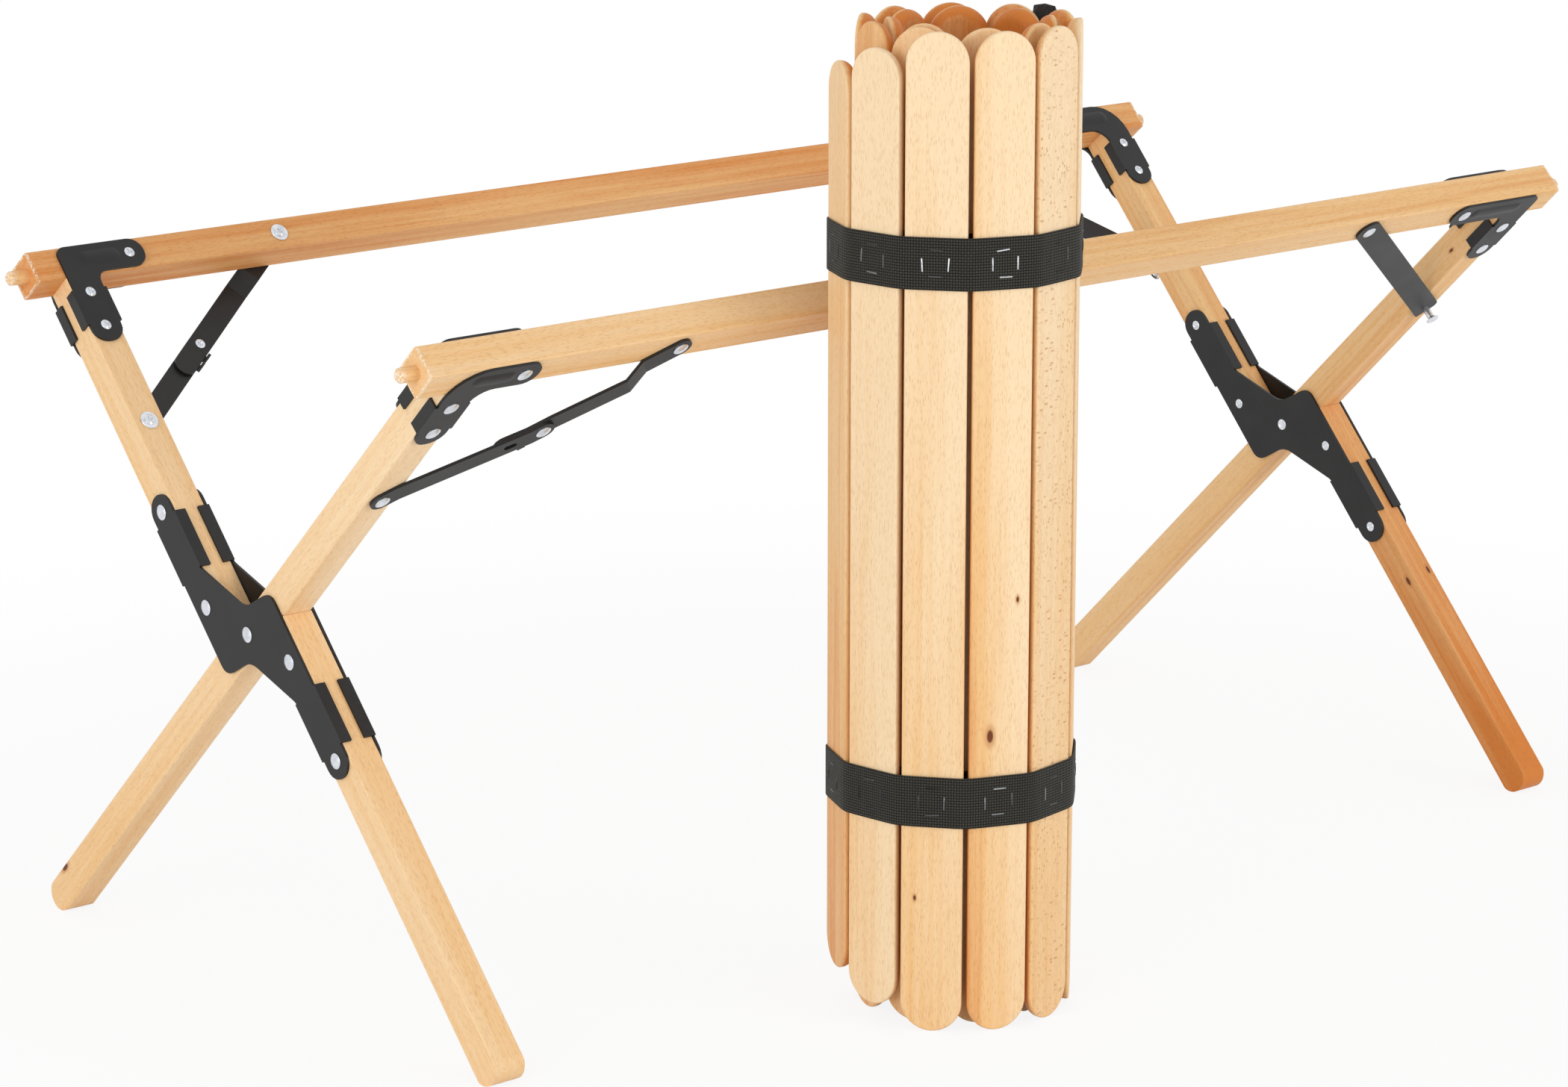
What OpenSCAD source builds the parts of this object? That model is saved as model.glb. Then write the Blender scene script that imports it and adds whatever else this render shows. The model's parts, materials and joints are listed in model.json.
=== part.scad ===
// Roll top camp table: a beech trestle of two U-frames crossed like scissors, open,
// with its slatted top rolled up on two webbing straps and stood on end in front of it.
// X runs along the rails, Y to the back, Z up from the floor; the origin is on the floor
// under the middle of the whole outline.

/* [Timber frame] */
// Side of the square rails and legs
stock = 22; // [20:0.5:24]
// Easing radius along the timber edges
ease = 1.2; // [0.6:0.1:2]
// Length of each rail
rail_len = 972; // [940:1:1100]
// Rail end to the middle of its leg
leg_inset = 31; // [26:1:60]
// Height of the rail axes above the floor
rail_h = 420; // [410:1:440]
// Height of the cross pivots above the floor
pivot_h = 227; // [215:1:235]
// Lean of the split legs from upright
split_tilt = 41; // [39:0.5:43]
// Lean of the through legs from upright
through_tilt = 45.5; // [44:0.5:47]
// Sideways set of each split leg half from the pivot
split_set = 26.5; // [26:0.1:28]

/* [Rail pegs] */
// Diameter of the peg at each rail end
peg_d = 9; // [7:0.5:11]
// Length of peg standing out of the rail
peg_len = 12.6; // [8:0.1:18]
// Chamfer round the peg's tip
peg_chamfer = 1.4; // [0.5:0.1:2]
// Diameter of the hidden tenon behind the peg
tenon_d = 6; // [4:0.5:6.5]
// Depth of the hidden tenon in the rail
tenon_len = 20; // [10:1:24]

/* [Pressed steel] */
// Thickness of the bracket and cross plates
plate = 1.8; // [1.5:0.1:2]
// Width of each flange folded over the timber
flange_w = 8; // [5:0.5:9]
// Rail axis to the first bracket bolt on the leg
leg_bolt_1 = 24; // [22:0.5:26]
// Rail axis to the second bracket bolt on the leg
leg_bolt_2 = 48.5; // [46:0.5:52]
// Leg axis to the fold bolt of a left bracket
left_arm = 40; // [36:1:50]
// Leg axis to the fold bolt of a right bracket
right_arm = 60; // [52:1:70]
// Cross pivot to the near rivet along a split leg
near_rivet = 34.5; // [32:0.5:40]
// Cross pivot to the end rivet along a split leg
end_rivet = 102.8; // [98:0.2:108]
// Height of the pressed bead on a bracket arm
bead_h = 1; // [0.5:0.1:1.2]

/* [Folding stays] */
// Width of the left stays' links
link_w = 15; // [14:0.5:17]
// Width of the right stays
bar_w = 18.5; // [17:0.5:19.5]
// Thickness of the stay links
link_t = 2; // [1.5:0.1:2.2]
// Leg axis to the stay's bolt on the rail
stay_rail = 156; // [140:1:170]
// Share of a through leg's upper half above the stay's bolt
stay_leg_share = 0.4285; // [0.4:0.0005:0.46]
// Share of the stay's length at its knuckle
knuckle_share = 0.48; // [0.45:0.01:0.52]
// Rise of a rail link at the knuckle
link_rise = 5; // [4:0.5:7]
// Length of a rail link's tail past the knuckle
tail_len = 30; // [26:1:34]

/* [Fasteners] */
// Shank diameter of bolts and rivets
shank_d = 5; // [4:0.5:5.5]
// Diameter of the cross pivot pins
pivot_d = 6; // [5:0.5:7]
// Radial running clearance of the cross pivot pins
run_fit = 0.05; // [0.02:0.01:0.09]
// Diameter of the dome heads
dome_d = 9.6; // [8.4:0.2:10]
// Height of the dome heads
dome_h = 1.7; // [1.2:0.1:2]
// Diameter of the screw heads
screw_d = 7; // [6.2:0.2:8]
// Diameter of the washers under stay screws
washer_d = 12; // [10:0.2:13]
// Diameter of the stud heads on the right legs
stud_d = 9; // [8:0.2:10]
// Stand of the stud heads off the right stays
stud_stand = 8; // [6:0.5:10]

/* [Rolled top] */
// Number of slats
slat_count = 23; // [23:1:23]
// Length of a full slat
slat_len = 600; // [560:1:640]
// Shortening of the slats at both ends of the top
end_cut = 47; // [0:1:60]
// Shortening of the slats next to the end ones
next_cut = 23; // [0:1:40]
// Width of a slat
slat_w = 37; // [34:0.2:37]
// Thickness of a slat
slat_t = 9; // [8:0.1:9]
// Space between neighbouring slats
slat_gap = 4.4; // [4.4:0.1:5.5]
// Edge radius on a slat's strap side
strap_edge = 2; // [1.8:0.1:2.2]
// Flat of a slat's side, between that radius and the larger one that lets the roll wind tight
side_flat = 0.2; // [0.1:0.1:0.3]
// Radius of the roll at its outer end
coil_r = 78.5; // [78.5:0.1:82]
// Shrink of that radius in one full turn
wind_depth = 15; // [14.9:0.1:15.2]
// Left-right place of the roll's back slat
roll_x = -145; // [-150:1:-130]
// Space between the front rail and the roll
roll_gap = 6; // [5:0.5:20]
// Turn of the whole roll about its back slat
roll_turn = 1.5; // [1:0.1:2]

/* [Straps] */
// Width of the webbing
strap_w = 31; // [24:1:40]
// Thickness of the webbing
strap_t = 1.6; // [1:0.1:1.7]
// Height of the lower strap's middle
strap_low = 143; // [120:1:180]
// Height of the upper strap's middle
strap_high = 466; // [420:1:490]
// Width of the hook and loop tab
tab_w = 16; // [12:1:20]
// Stand of the tab above the slats
tab_stand = 1; // [0:0.5:12]

/* [Hidden] */
$fn = 48;
beech = [0.87, 0.72, 0.52];
coated = [0.13, 0.13, 0.13];
zinc = [0.76, 0.78, 0.81];
webbing = [0.12, 0.12, 0.10];

half = stock / 2;
leg_x = rail_len / 2 - leg_inset;
// Sideways play of the through legs between the cross plates
leg_play = 0.3;
// Play between the split halves' ends and the through leg
butt_play = 0.2;
// Looseness of a hole about a fixed shank, on the diameter
hole_fit = 0.1;
// Lift of the webbing off the slats
strap_lift = 0.2;
// Steps in each rounded outline corner
corner_steps = 6;

// Pivot to rail axis and to foot centre, along the legs
split_reach = (rail_h - pivot_h + split_set * sin(split_tilt)) / cos(split_tilt);
through_reach = (rail_h - pivot_h) / cos(through_tilt);
split_foot = (pivot_h + split_set * sin(split_tilt) - half) / cos(split_tilt);
through_foot = (pivot_h - half) / cos(through_tilt);
// Angle from the split legs to the open through legs
open_angle = split_tilt + through_tilt;

stay_leg = stay_leg_share * through_reach;
stay_len = norm([stay_rail, stay_leg]);
stay_turn = atan2(stay_leg, -stay_rail);
knuckle = knuckle_share * stay_len;
// Flat seat of the knuckle rivet, and the flat end of a leg link
seat = 8;
leg_flat = 10;
// Fall of the leg link, and of the tail under it, past that seat
link_fall = (link_rise + link_t) / (stay_len - leg_flat - knuckle - seat);
// Snap point past the knuckle
snap_at = 21;

// Cross plate: corners of its waist, and the necks where its arms leave it
waist = [0.34, 0.53] * split_set;
shoulder = 0.3 * split_set;
neck = near_rivet + stock + 0.5;

// The roll: chords of one pitch set round a circle that shrinks as it winds inward
pitch = slat_w + slat_gap;
inner_edge = slat_t - strap_edge - side_flat;
root = 9;
// Front-back place of the roll's back face, from the pivot line
roll_y = -through_reach * sin(through_tilt)
    - half * (sin(through_tilt) + cos(through_tilt)) - roll_gap;
function turn_at(wound) = 2 * asin(pitch / (2 * (coil_r - wind_depth * wound / 360)));
turns = [for (i = 0, wound = 0; i < slat_count - 1; wound = wound + turn_at(wound), i = i + 1)
    turn_at(wound)];
function wound_to(i) = i <= 0 ? 0 : wound_to(i - 1) + turns[i - 1];
heading = [for (i = [0 : slat_count - 1]) 180 + roll_turn + wound_to(i) - wound_to(root)];
function run_to(i) = i <= 0 ? [0, 0]
    : run_to(i - 1) + pitch * [cos(heading[i - 1]), sin(heading[i - 1])];
run_start = [roll_x, roll_y] - (run_to(root) + run_to(root + 1)) / 2;
hinge = [for (i = [0 : slat_count]) run_start + run_to(i)];
function slat_mid(i) = (hinge[i] + hinge[i + 1]) / 2;
function outward(i) = [sin(heading[i]), -cos(heading[i])];
function slat_cut(i) = let (from_end = min(i, slat_count - 1 - i))
    from_end == 0 ? end_cut : from_end == 1 ? next_cut : 0;

// The webbing's run: its free end laps back over the slat after the root, then every hinge
lap_lift = strap_t + 2 * strap_lift;
strap_run = concat(
    [slat_mid(root) + lap_lift * outward(root),
     hinge[root + 1] + lap_lift * (outward(root) + outward(root + 1)) / 2,
     slat_mid(root + 1) + lap_lift * outward(root + 1)],
    hinge);
function right_of(a, b) = [b[1] - a[1], a[0] - b[0]] / norm(b - a);
function beside(run, i, d) = let (
    last = len(run) - 1,
    before = right_of(run[max(i - 1, 0)], run[max(i, 1)]),
    after = right_of(run[min(i, last - 1)], run[min(i + 1, last)]))
    run[i] + d * (before + after) / (1 + before * after);
strap_face = [for (i = [0 : len(strap_run) - 1]) beside(strap_run, i, strap_lift + strap_t)];
strap_back = [for (i = [len(strap_run) - 1 : -1 : 0]) beside(strap_run, i, strap_lift)];
tab_slat = 7;

// Middle of the outline, front of the roll to back of the through feet
plan_mid = (min([for (p = strap_face) p[1]]) + through_foot * sin(through_tilt) + half) / 2;

function slat_name(i) = str("slat_", i < 9 ? "0" : "", i + 1);
SLATS = [for (i = [0 : slat_count - 1]) slat_name(i)];

// Outline points: an arc of radius r where b turns from a towards c
function corner_arc(a, b, c, r) = let (
    u = (a - b) / norm(a - b),
    v = (c - b) / norm(c - b),
    bend = acos(u * v) / 2,
    mid = b + (u + v) / norm(u + v) * r / sin(bend),
    p = b + u * r / tan(bend) - mid,
    q = b + v * r / tan(bend) - mid,
    from = atan2(p[1], p[0]),
    sweep = (atan2(q[1], q[0]) - from + 540) % 360 - 180)
    [for (k = [0 : corner_steps])
        mid + r * [cos(from + sweep * k / corner_steps), sin(from + sweep * k / corner_steps)]];

// Outline with every corner [x, y, radius] rounded
function rounded(list) = [for (i = [0 : len(list) - 1]) let (
    n = len(list),
    a = list[(i + n - 1) % n],
    b = list[i],
    c = list[(i + 1) % n])
    each corner_arc([a[0], a[1]], [b[0], b[1]], [c[0], c[1]], b[2])];

// Frame of the split legs: Z up the legs from the pivot, Y to their stay side
module in_split() {
    translate([0, -plan_mid, pivot_h]) rotate([-split_tilt, 0, 0]) children();
}

// Frame of the through legs: Z up the legs from the pivot, Y away from their stay side
module in_through() {
    translate([0, -plan_mid, pivot_h]) rotate([through_tilt, 0, 0]) children();
}

// Frame of a rail, X along it and Z away from its legs
module at_rail(back) {
    if (back) in_split() translate([0, split_set, split_reach]) children();
    else in_through() translate([0, 0, through_reach]) children();
}

// Frame of a leg and rail corner: X inward along the rail, Y to the stay side, leg towards -Z
module at_corner(back, side) {
    at_rail(back) translate([side * leg_x, 0, 0])
        mirror([side > 0 ? 1 : 0, 0, 0]) mirror([0, back ? 0 : 1, 0]) children();
}

// Frame of a stay in its corner: X from the rail bolt to the leg bolt, Y off the timber
module at_stay() {
    translate([stay_rail, half, 0]) rotate([0, stay_turn, 0]) children();
}

function arm_of(side) = side < 0 ? left_arm : right_arm;

// Rod along Y from one face to another
module across(x, z, d, from, to) {
    translate([x, from, z]) rotate([-90, 0, 0]) cylinder(d = d, h = to - from);
}

// Shallow dome on Z = 0
module dome(d, h) {
    ball = (d * d / 4 + h * h) / (2 * h);
    intersection() {
        translate([0, 0, h - ball]) sphere(ball);
        cylinder(d = d, h = h);
    }
}

// Square timber along Z with eased edges
module timber(w, from, to) {
    translate([0, 0, from]) linear_extrude(to - from) polygon(rounded([
        [-w / 2, -half, ease], [w / 2, -half, ease], [w / 2, half, ease], [-w / 2, half, ease]]));
}

// Leg end: the timber below the pivot kept to a round foot
module footed(w, foot, top) {
    intersection() {
        timber(w, -foot - half, top);
        union() {
            translate([0, 0, -foot]) rotate([0, 90, 0]) cylinder(r = half, h = 2 * stock, center = true);
            translate([-stock, -stock, -foot]) cube([2 * stock, 2 * stock, foot + top]);
        }
    }
}

// Bores of a corner's bolts, through rail and leg alike
module corner_bores(side) {
    d = shank_d + hole_fit;
    across(arm_of(side), 0, d, -stock, stock);
    across(stay_rail, 0, d, -stock, stock);
    across(0, -leg_bolt_1, d, -stock, stock);
    across(0, -leg_bolt_2, d, -stock, stock);
    across(0, -stay_leg, d, -stock, stock);
}

// Small blind hole beside the stud of a right leg
module stud_hole(side) {
    if (side > 0) across(0.5, -stay_leg - 9, 4.4, half - 7, stock);
}

module rail(back) {
    color(beech) difference() {
        at_rail(back) rotate([0, 90, 0]) timber(stock, -rail_len / 2, rail_len / 2);
        for (side = [-1, 1]) {
            at_corner(back, side) corner_bores(side);
            at_rail(back) translate([side * rail_len / 2, 0, 0]) rotate([0, 90, 0])
                cylinder(d = tenon_d + hole_fit, h = 2 * tenon_len + 1, center = true);
        }
    }
}

module rail_pegs(back) {
    color(beech) at_rail(back) for (side = [-1, 1])
        translate([side * rail_len / 2, 0, 0]) rotate([0, side * 90, 0]) {
            cylinder(d = peg_d, h = peg_len - peg_chamfer);
            translate([0, 0, peg_len - peg_chamfer])
                cylinder(d1 = peg_d, d2 = peg_d - 2 * peg_chamfer, h = peg_chamfer);
            translate([0, 0, -tenon_len]) cylinder(d = tenon_d, h = tenon_len);
        }
}

// Rod along X through a split leg and its plates
module cross_rod(y, z, d, len) {
    translate([0, y, z]) rotate([0, 90, 0]) cylinder(d = d, h = len, center = true);
}

module split_leg(side, upper) {
    set = upper ? split_set : -split_set;
    up = upper ? 1 : -1;
    color(beech) difference() {
        in_split() translate([side * leg_x, 0, 0]) difference() {
            translate([0, set, 0])
                if (upper) timber(stock, 0, split_reach - half);
                else footed(stock, split_foot, 0);
            rotate([open_angle, 0, 0])
                cube([2 * stock, stock + 2 * butt_play, 8 * stock], center = true);
            cross_rod(set, up * near_rivet, shank_d + hole_fit, 2 * stock);
            cross_rod(set, up * end_rivet, shank_d + hole_fit, 2 * stock);
        }
        if (upper) at_corner(true, side) {
            corner_bores(side);
            stud_hole(side);
        }
    }
}

module through_leg(side) {
    color(beech) difference() {
        in_through() translate([side * leg_x, 0, 0]) difference() {
            footed(stock - 2 * leg_play, through_foot, through_reach - half);
            cross_rod(0, 0, pivot_d + 2 * run_fit, 2 * stock);
        }
        at_corner(false, side) {
            corner_bores(side);
            stud_hole(side);
        }
    }
}

// S-shaped plate on one face of a crossed leg pair, flanges folded towards the timber
module cross_plate(side, face) {
    tip = end_rivet + half;
    edge_in = split_set - half;
    edge_out = split_set + half;
    outline = rounded([
        [edge_in, tip, half - 0.5], [edge_out, tip, half - 0.5], [edge_out, -shoulder, waist[0]],
        [waist[0], -waist[1], 0.6 * split_set], [-edge_in, -neck, waist[1]],
        [-edge_in, -tip, half - 0.5], [-edge_out, -tip, half - 0.5], [-edge_out, shoulder, waist[0]],
        [-waist[0], waist[1], 0.6 * split_set], [edge_in, neck, waist[1]]]);
    color(coated) in_split() translate([side * leg_x, 0, 0])
        mirror([face < 0 ? 1 : 0, 0, 0]) translate([half, 0, 0]) difference() {
            union() {
                rotate([90, 0, 90]) linear_extrude(plate) polygon(outline);
                for (turn = [0, 180]) rotate([turn, 0, 0]) for (y = [edge_in - plate, edge_out])
                    translate([plate - flange_w, y, neck])
                        cube([flange_w, plate, end_rivet - 6 - neck]);
            }
            cross_rod(0, 0, pivot_d + hole_fit, stock);
            for (turn = [0, 180]) rotate([turn, 0, 0]) for (z = [near_rivet, end_rivet])
                cross_rod(split_set, z, shank_d + hole_fit, stock);
        }
}

// Rivet along X through a leg: dome on the outer face, hollow clinched end on the inner one
module cross_rivet(d) {
    grip = half + plate;
    rotate([0, 90, 0]) difference() {
        union() {
            translate([0, 0, -grip]) cylinder(d = d, h = 2 * grip);
            translate([0, 0, grip]) dome(dome_d, dome_h);
            translate([0, 0, -grip - 1]) cylinder(d = d + 1.6, h = 1);
        }
        translate([0, 0, -grip - 2]) cylinder(d = d - 2, h = 5);
    }
}

module cross_rivets() {
    color(zinc) in_split() for (side = [-1, 1], up = [-1, 1], z = [near_rivet, end_rivet])
        translate([side * leg_x, up * split_set, up * z]) mirror([side < 0 ? 1 : 0, 0, 0])
            cross_rivet(shank_d);
}

module cross_pivot_pins() {
    color(zinc) in_split() for (side = [-1, 1])
        translate([side * leg_x, 0, 0]) mirror([side < 0 ? 1 : 0, 0, 0]) cross_rivet(pivot_d);
}

// One L-shaped bracket plate on the stay side of a corner, with a sharp or a round elbow
module bracket_plate(side, leg_w, sharp) {
    arm = arm_of(side);
    outer_r = sharp ? 6 : 24;
    inner_r = sharp ? 8 : 13;
    leg_end = -leg_bolt_2 - half;
    side_x = leg_w / 2;
    outline = rounded([
        [-side_x, half - 1, outer_r], [arm + half, half - 1, 9.5], [arm + half, 1 - half, 9.5],
        [side_x, 1 - half, inner_r], [side_x, leg_end, 10], [-side_x, leg_end, 10]]);
    difference() {
        union() {
            translate([0, half + plate, 0]) rotate([90, 0, 0]) linear_extrude(plate) polygon(outline);
            for (x = [-side_x - plate, side_x]) translate([x, half + plate - flange_w, 2 - leg_bolt_2])
                cube([plate, flange_w, leg_bolt_2 - leg_bolt_1 + 0.5]);
            intersection() {
                bead_r = 14;
                translate([8, half + plate + bead_h - bead_r, 0]) {
                    rotate([0, 90, 0]) cylinder(r = bead_r, h = arm - 20);
                    sphere(bead_r);
                    translate([arm - 20, 0, 0]) sphere(bead_r);
                }
                translate([0, half + plate / 2, -half]) cube([arm, stock, stock]);
            }
        }
        corner_bores(side);
    }
}

module bracket(back, side) {
    leg_w = back ? stock : stock - 2 * leg_play;
    color(coated) at_corner(back, side) {
        bracket_plate(side, leg_w, side > 0);
        mirror([0, 1, 0]) bracket_plate(side, leg_w, side < 0);
    }
}

// Bolt along Y: smooth dome on the stay side, screw head on the other
module bolt(x, z, stay_face, screw_face) {
    across(x, z, shank_d, -screw_face, stay_face);
    translate([x, stay_face, z]) rotate([-90, 0, 0]) dome(dome_d, dome_h);
    translate([x, -screw_face, z]) rotate([90, 0, 0]) dome(screw_d, dome_h);
}

module bracket_bolts(back) {
    grip = half + plate;
    color(zinc) for (side = [-1, 1]) at_corner(back, side) {
        bolt(arm_of(side), 0, grip, grip);
        bolt(0, -leg_bolt_1, grip, grip);
        bolt(0, -leg_bolt_2, grip, grip);
    }
}

// Strip along a side path of [along, off] points, link_t thick, with round ends in plan
module link(path, from, to) {
    back = [for (i = [len(path) - 1 : -1 : 0]) path[i] + [0, link_t]];
    intersection() {
        linear_extrude(link_w, center = true) polygon(concat(path, back));
        rotate([90, 0, 0]) linear_extrude(4 * stock, center = true) union() {
            translate([from, 0]) circle(d = link_w);
            translate([to, 0]) circle(d = link_w);
            translate([from, -link_w / 2]) square([to - from, link_w]);
        }
    }
}

// Inner half of a left stay, bent off the rail, with a snap point on its tail
module rail_link(back) {
    end = knuckle + tail_len - link_w / 2;
    past = end + link_w;
    color(coated) at_corner(back, -1) at_stay() difference() {
        union() {
            link([[-link_w, 0], [0.25 * knuckle, 0], [0.4 * knuckle, link_rise + 1.5],
                  [knuckle - seat, link_rise], [knuckle + seat, link_rise],
                  [past, link_rise - link_fall * (past - knuckle - seat)]], 0, end);
            translate([knuckle + snap_at, link_rise + link_t - link_fall * (snap_at - seat) - 0.2, 0])
                rotate([-90, 0, 0]) dome(3.4, 1.4);
        }
        across(0, 0, shank_d + hole_fit, -stock, stock);
        across(knuckle, 0, shank_d + hole_fit, -stock, stock);
    }
}

// Outer half of a left stay, straight from the leg, with two tabs beside the tail under it
module leg_link(back) {
    rise = link_rise + link_t;
    color(coated) at_corner(back, -1) at_stay() difference() {
        union() {
            link([[knuckle - link_w, rise], [knuckle + seat, rise], [stay_len - leg_flat, 0],
                  [stay_len + link_w, 0]], knuckle, stay_len);
            for (x = [4, 13]) translate([knuckle + x, rise, link_w / 2]) {
                translate([0, 0.05, -1]) cube([5, 1, 3.2]);
                translate([0, -link_t - 1.9, 0.4]) cube([5, link_t + 2.9, 1.8]);
            }
        }
        for (x = [-1.8, 1.8]) across(knuckle + snap_at + x, 0, 4.6, -stock, stock);
        translate([knuckle + snap_at - 1.8, -stock, -2.3]) cube([3.6, 2 * stock, 4.6]);
        across(knuckle, 0, shank_d + hole_fit, -stock, stock);
        across(stay_len, 0, shank_d + hole_fit, -stock, stock);
    }
}

// Right stay: one flat bar, round at the rail and cut square just past its stud
module stay_bar(back) {
    end = stay_len + 5.5;
    side_z = bar_w / 2;
    color(coated) at_corner(back, 1) at_stay() difference() {
        rotate([-90, 0, 0]) linear_extrude(link_t) polygon(rounded([
            [-side_z, -side_z, side_z - 0.1], [end, -side_z, 1],
            [end, side_z, 5], [-side_z, side_z, side_z - 0.1]]));
        across(0, 0, shank_d + hole_fit, -stock, stock);
        across(stay_len, 0, shank_d + hole_fit, -stock, stock);
    }
}

module stay_rivet(back) {
    top = link_rise + 2 * link_t;
    color(zinc) at_corner(back, -1) at_stay() {
        across(knuckle, 0, shank_d, link_rise, top);
        translate([knuckle, top, 0]) rotate([-90, 0, 0]) dome(dome_d, dome_h);
        translate([knuckle, link_rise, 0]) rotate([90, 0, 0]) cylinder(d = shank_d + 1.6, h = 0.6);
    }
}

// Stud along Y: a long shank with a flared flat head on the stay side, screw head on the other
module stud(x, z, stay_face, screw_face) {
    across(x, z, shank_d, -screw_face, stay_face);
    translate([x, stay_face, z]) rotate([-90, 0, 0]) {
        cylinder(d1 = shank_d, d2 = stud_d, h = 1.3);
        translate([0, 0, 1.3]) cylinder(d = stud_d, h = 0.8);
    }
    translate([x, -screw_face, z]) rotate([90, 0, 0]) dome(screw_d, dome_h);
}

module stay_bolts(back) {
    washer_t = 1;
    color(zinc) for (side = [-1, 1]) at_corner(back, side) {
        bolt(stay_rail, 0, half + link_t, half + washer_t);
        if (side < 0) bolt(0, -stay_leg, half + link_t, half + washer_t);
        else stud(0, -stay_leg, half + link_t + stud_stand, half + washer_t);
        for (at = [[stay_rail, 0], [0, -stay_leg]])
            across(at[0], at[1], washer_d, -half - washer_t, -half);
    }
}

// Slat with its strap side along the hinge line and fully round ends
module slat(i) {
    len = slat_len - slat_cut(i);
    color(beech) translate([slat_mid(i)[0], slat_mid(i)[1] - plan_mid, slat_len / 2])
        rotate([0, 0, heading[i]]) intersection() {
            linear_extrude(len, center = true) polygon(rounded([
                [-slat_w / 2, 0, strap_edge], [slat_w / 2, 0, strap_edge],
                [slat_w / 2, slat_t, inner_edge], [-slat_w / 2, slat_t, inner_edge]]));
            rotate([90, 0, 0]) linear_extrude(4 * slat_t, center = true) union() {
                for (z = [-1, 1]) translate([0, z * (len - slat_w) / 2]) circle(d = slat_w);
                square([slat_w, len - slat_w], center = true);
            }
        }
}

module strap(z) {
    color(webbing) translate([0, -plan_mid, z]) linear_extrude(strap_w, center = true)
        polygon(concat(strap_face, strap_back));
}

module hook_loop_tab() {
    foot_z = strap_high + strap_w / 2 + 2;
    color(webbing) translate([slat_mid(tab_slat)[0], slat_mid(tab_slat)[1] - plan_mid, foot_z])
        rotate([0, 0, heading[tab_slat]]) translate([-pitch / 2 - 6, -strap_lift - strap_t, 0])
            cube([tab_w, strap_t, slat_len + tab_stand - foot_z]);
}

rail(true);  // back_rail
rail_pegs(true);  // back_rail_pegs
split_leg(-1, true);  // left_upper_leg
split_leg(-1, false);  // left_lower_leg
split_leg(1, true);  // right_upper_leg
split_leg(1, false);  // right_lower_leg
cross_plate(-1, -1);  // left_outer_cross_plate
cross_plate(-1, 1);  // left_inner_cross_plate
cross_plate(1, 1);  // right_outer_cross_plate
cross_plate(1, -1);  // right_inner_cross_plate
cross_rivets();
cross_pivot_pins();
bracket(true, -1);  // back_left_bracket
bracket(true, 1);  // back_right_bracket
bracket_bolts(true);  // back_bracket_bolts
rail_link(true);  // back_left_rail_link
leg_link(true);  // back_left_leg_link
stay_bar(true);  // back_right_stay
stay_rivet(true);  // back_stay_rivet
stay_bolts(true);  // back_stay_bolts
rail(false);  // front_rail
rail_pegs(false);  // front_rail_pegs
through_leg(-1);  // left_through_leg
through_leg(1);  // right_through_leg
bracket(false, -1);  // front_left_bracket
bracket(false, 1);  // front_right_bracket
bracket_bolts(false);  // front_bracket_bolts
rail_link(false);  // front_left_rail_link
leg_link(false);  // front_left_leg_link
stay_bar(false);  // front_right_stay
stay_rivet(false);  // front_stay_rivet
stay_bolts(false);  // front_stay_bolts
for (i = [0 : slat_count - 1]) slat(i);
strap(strap_high);  // upper_strap
strap(strap_low);  // lower_strap
hook_loop_tab();
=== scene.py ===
"""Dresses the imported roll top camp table: beech, coated steel, rolled slats, webbing and a studio stage."""

import json
import math

import bmesh
import bpy
import numpy as np
from bpy.props import FloatProperty, FloatVectorProperty, IntProperty, PointerProperty
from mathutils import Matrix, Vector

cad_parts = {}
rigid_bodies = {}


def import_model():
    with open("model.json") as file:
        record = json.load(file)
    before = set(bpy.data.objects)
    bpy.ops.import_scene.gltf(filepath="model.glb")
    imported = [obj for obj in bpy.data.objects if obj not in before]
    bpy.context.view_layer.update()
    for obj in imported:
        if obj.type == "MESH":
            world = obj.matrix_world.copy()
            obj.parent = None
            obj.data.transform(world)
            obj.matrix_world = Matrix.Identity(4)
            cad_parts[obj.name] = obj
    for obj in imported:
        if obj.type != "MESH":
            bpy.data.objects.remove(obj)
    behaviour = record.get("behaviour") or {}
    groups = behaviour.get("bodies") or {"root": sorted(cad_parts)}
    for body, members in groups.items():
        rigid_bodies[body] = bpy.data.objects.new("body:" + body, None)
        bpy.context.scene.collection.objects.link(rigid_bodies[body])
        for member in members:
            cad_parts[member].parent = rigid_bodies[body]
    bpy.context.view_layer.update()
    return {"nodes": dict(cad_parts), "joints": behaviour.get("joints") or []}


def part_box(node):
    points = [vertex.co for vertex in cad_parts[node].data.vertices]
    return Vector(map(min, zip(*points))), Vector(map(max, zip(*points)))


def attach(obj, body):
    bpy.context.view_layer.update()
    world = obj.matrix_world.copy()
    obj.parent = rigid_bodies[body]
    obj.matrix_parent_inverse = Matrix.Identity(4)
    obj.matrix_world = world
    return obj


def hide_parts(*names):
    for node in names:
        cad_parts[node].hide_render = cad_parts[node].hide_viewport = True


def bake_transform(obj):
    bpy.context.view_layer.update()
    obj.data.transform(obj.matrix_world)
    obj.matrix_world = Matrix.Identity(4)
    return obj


bl_info = {
    "name": "Roll Top Camp Table",
    "version": (1, 0, 0),
    "blender": (4, 5, 0),
    "location": "3D View > Sidebar > Camp Table",
    "description": "Builds the slats, straps, fasteners and finishes of a camp table on its packed frame",
    "category": "Object",
}

for leftover in list(bpy.data.objects):
    bpy.data.objects.remove(leftover)

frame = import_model()
JOINTS = {joint["name"]: joint for joint in frame["joints"]}
PIVOT = np.array(JOINTS["frame_fold"]["pos_m"])

# Frame sizes in metres and degrees, as the solids have them
HALF = 0.022 / 2
RAIL_H = 0.420
RAIL_END = 0.486
PEG_END = 0.4986
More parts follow.
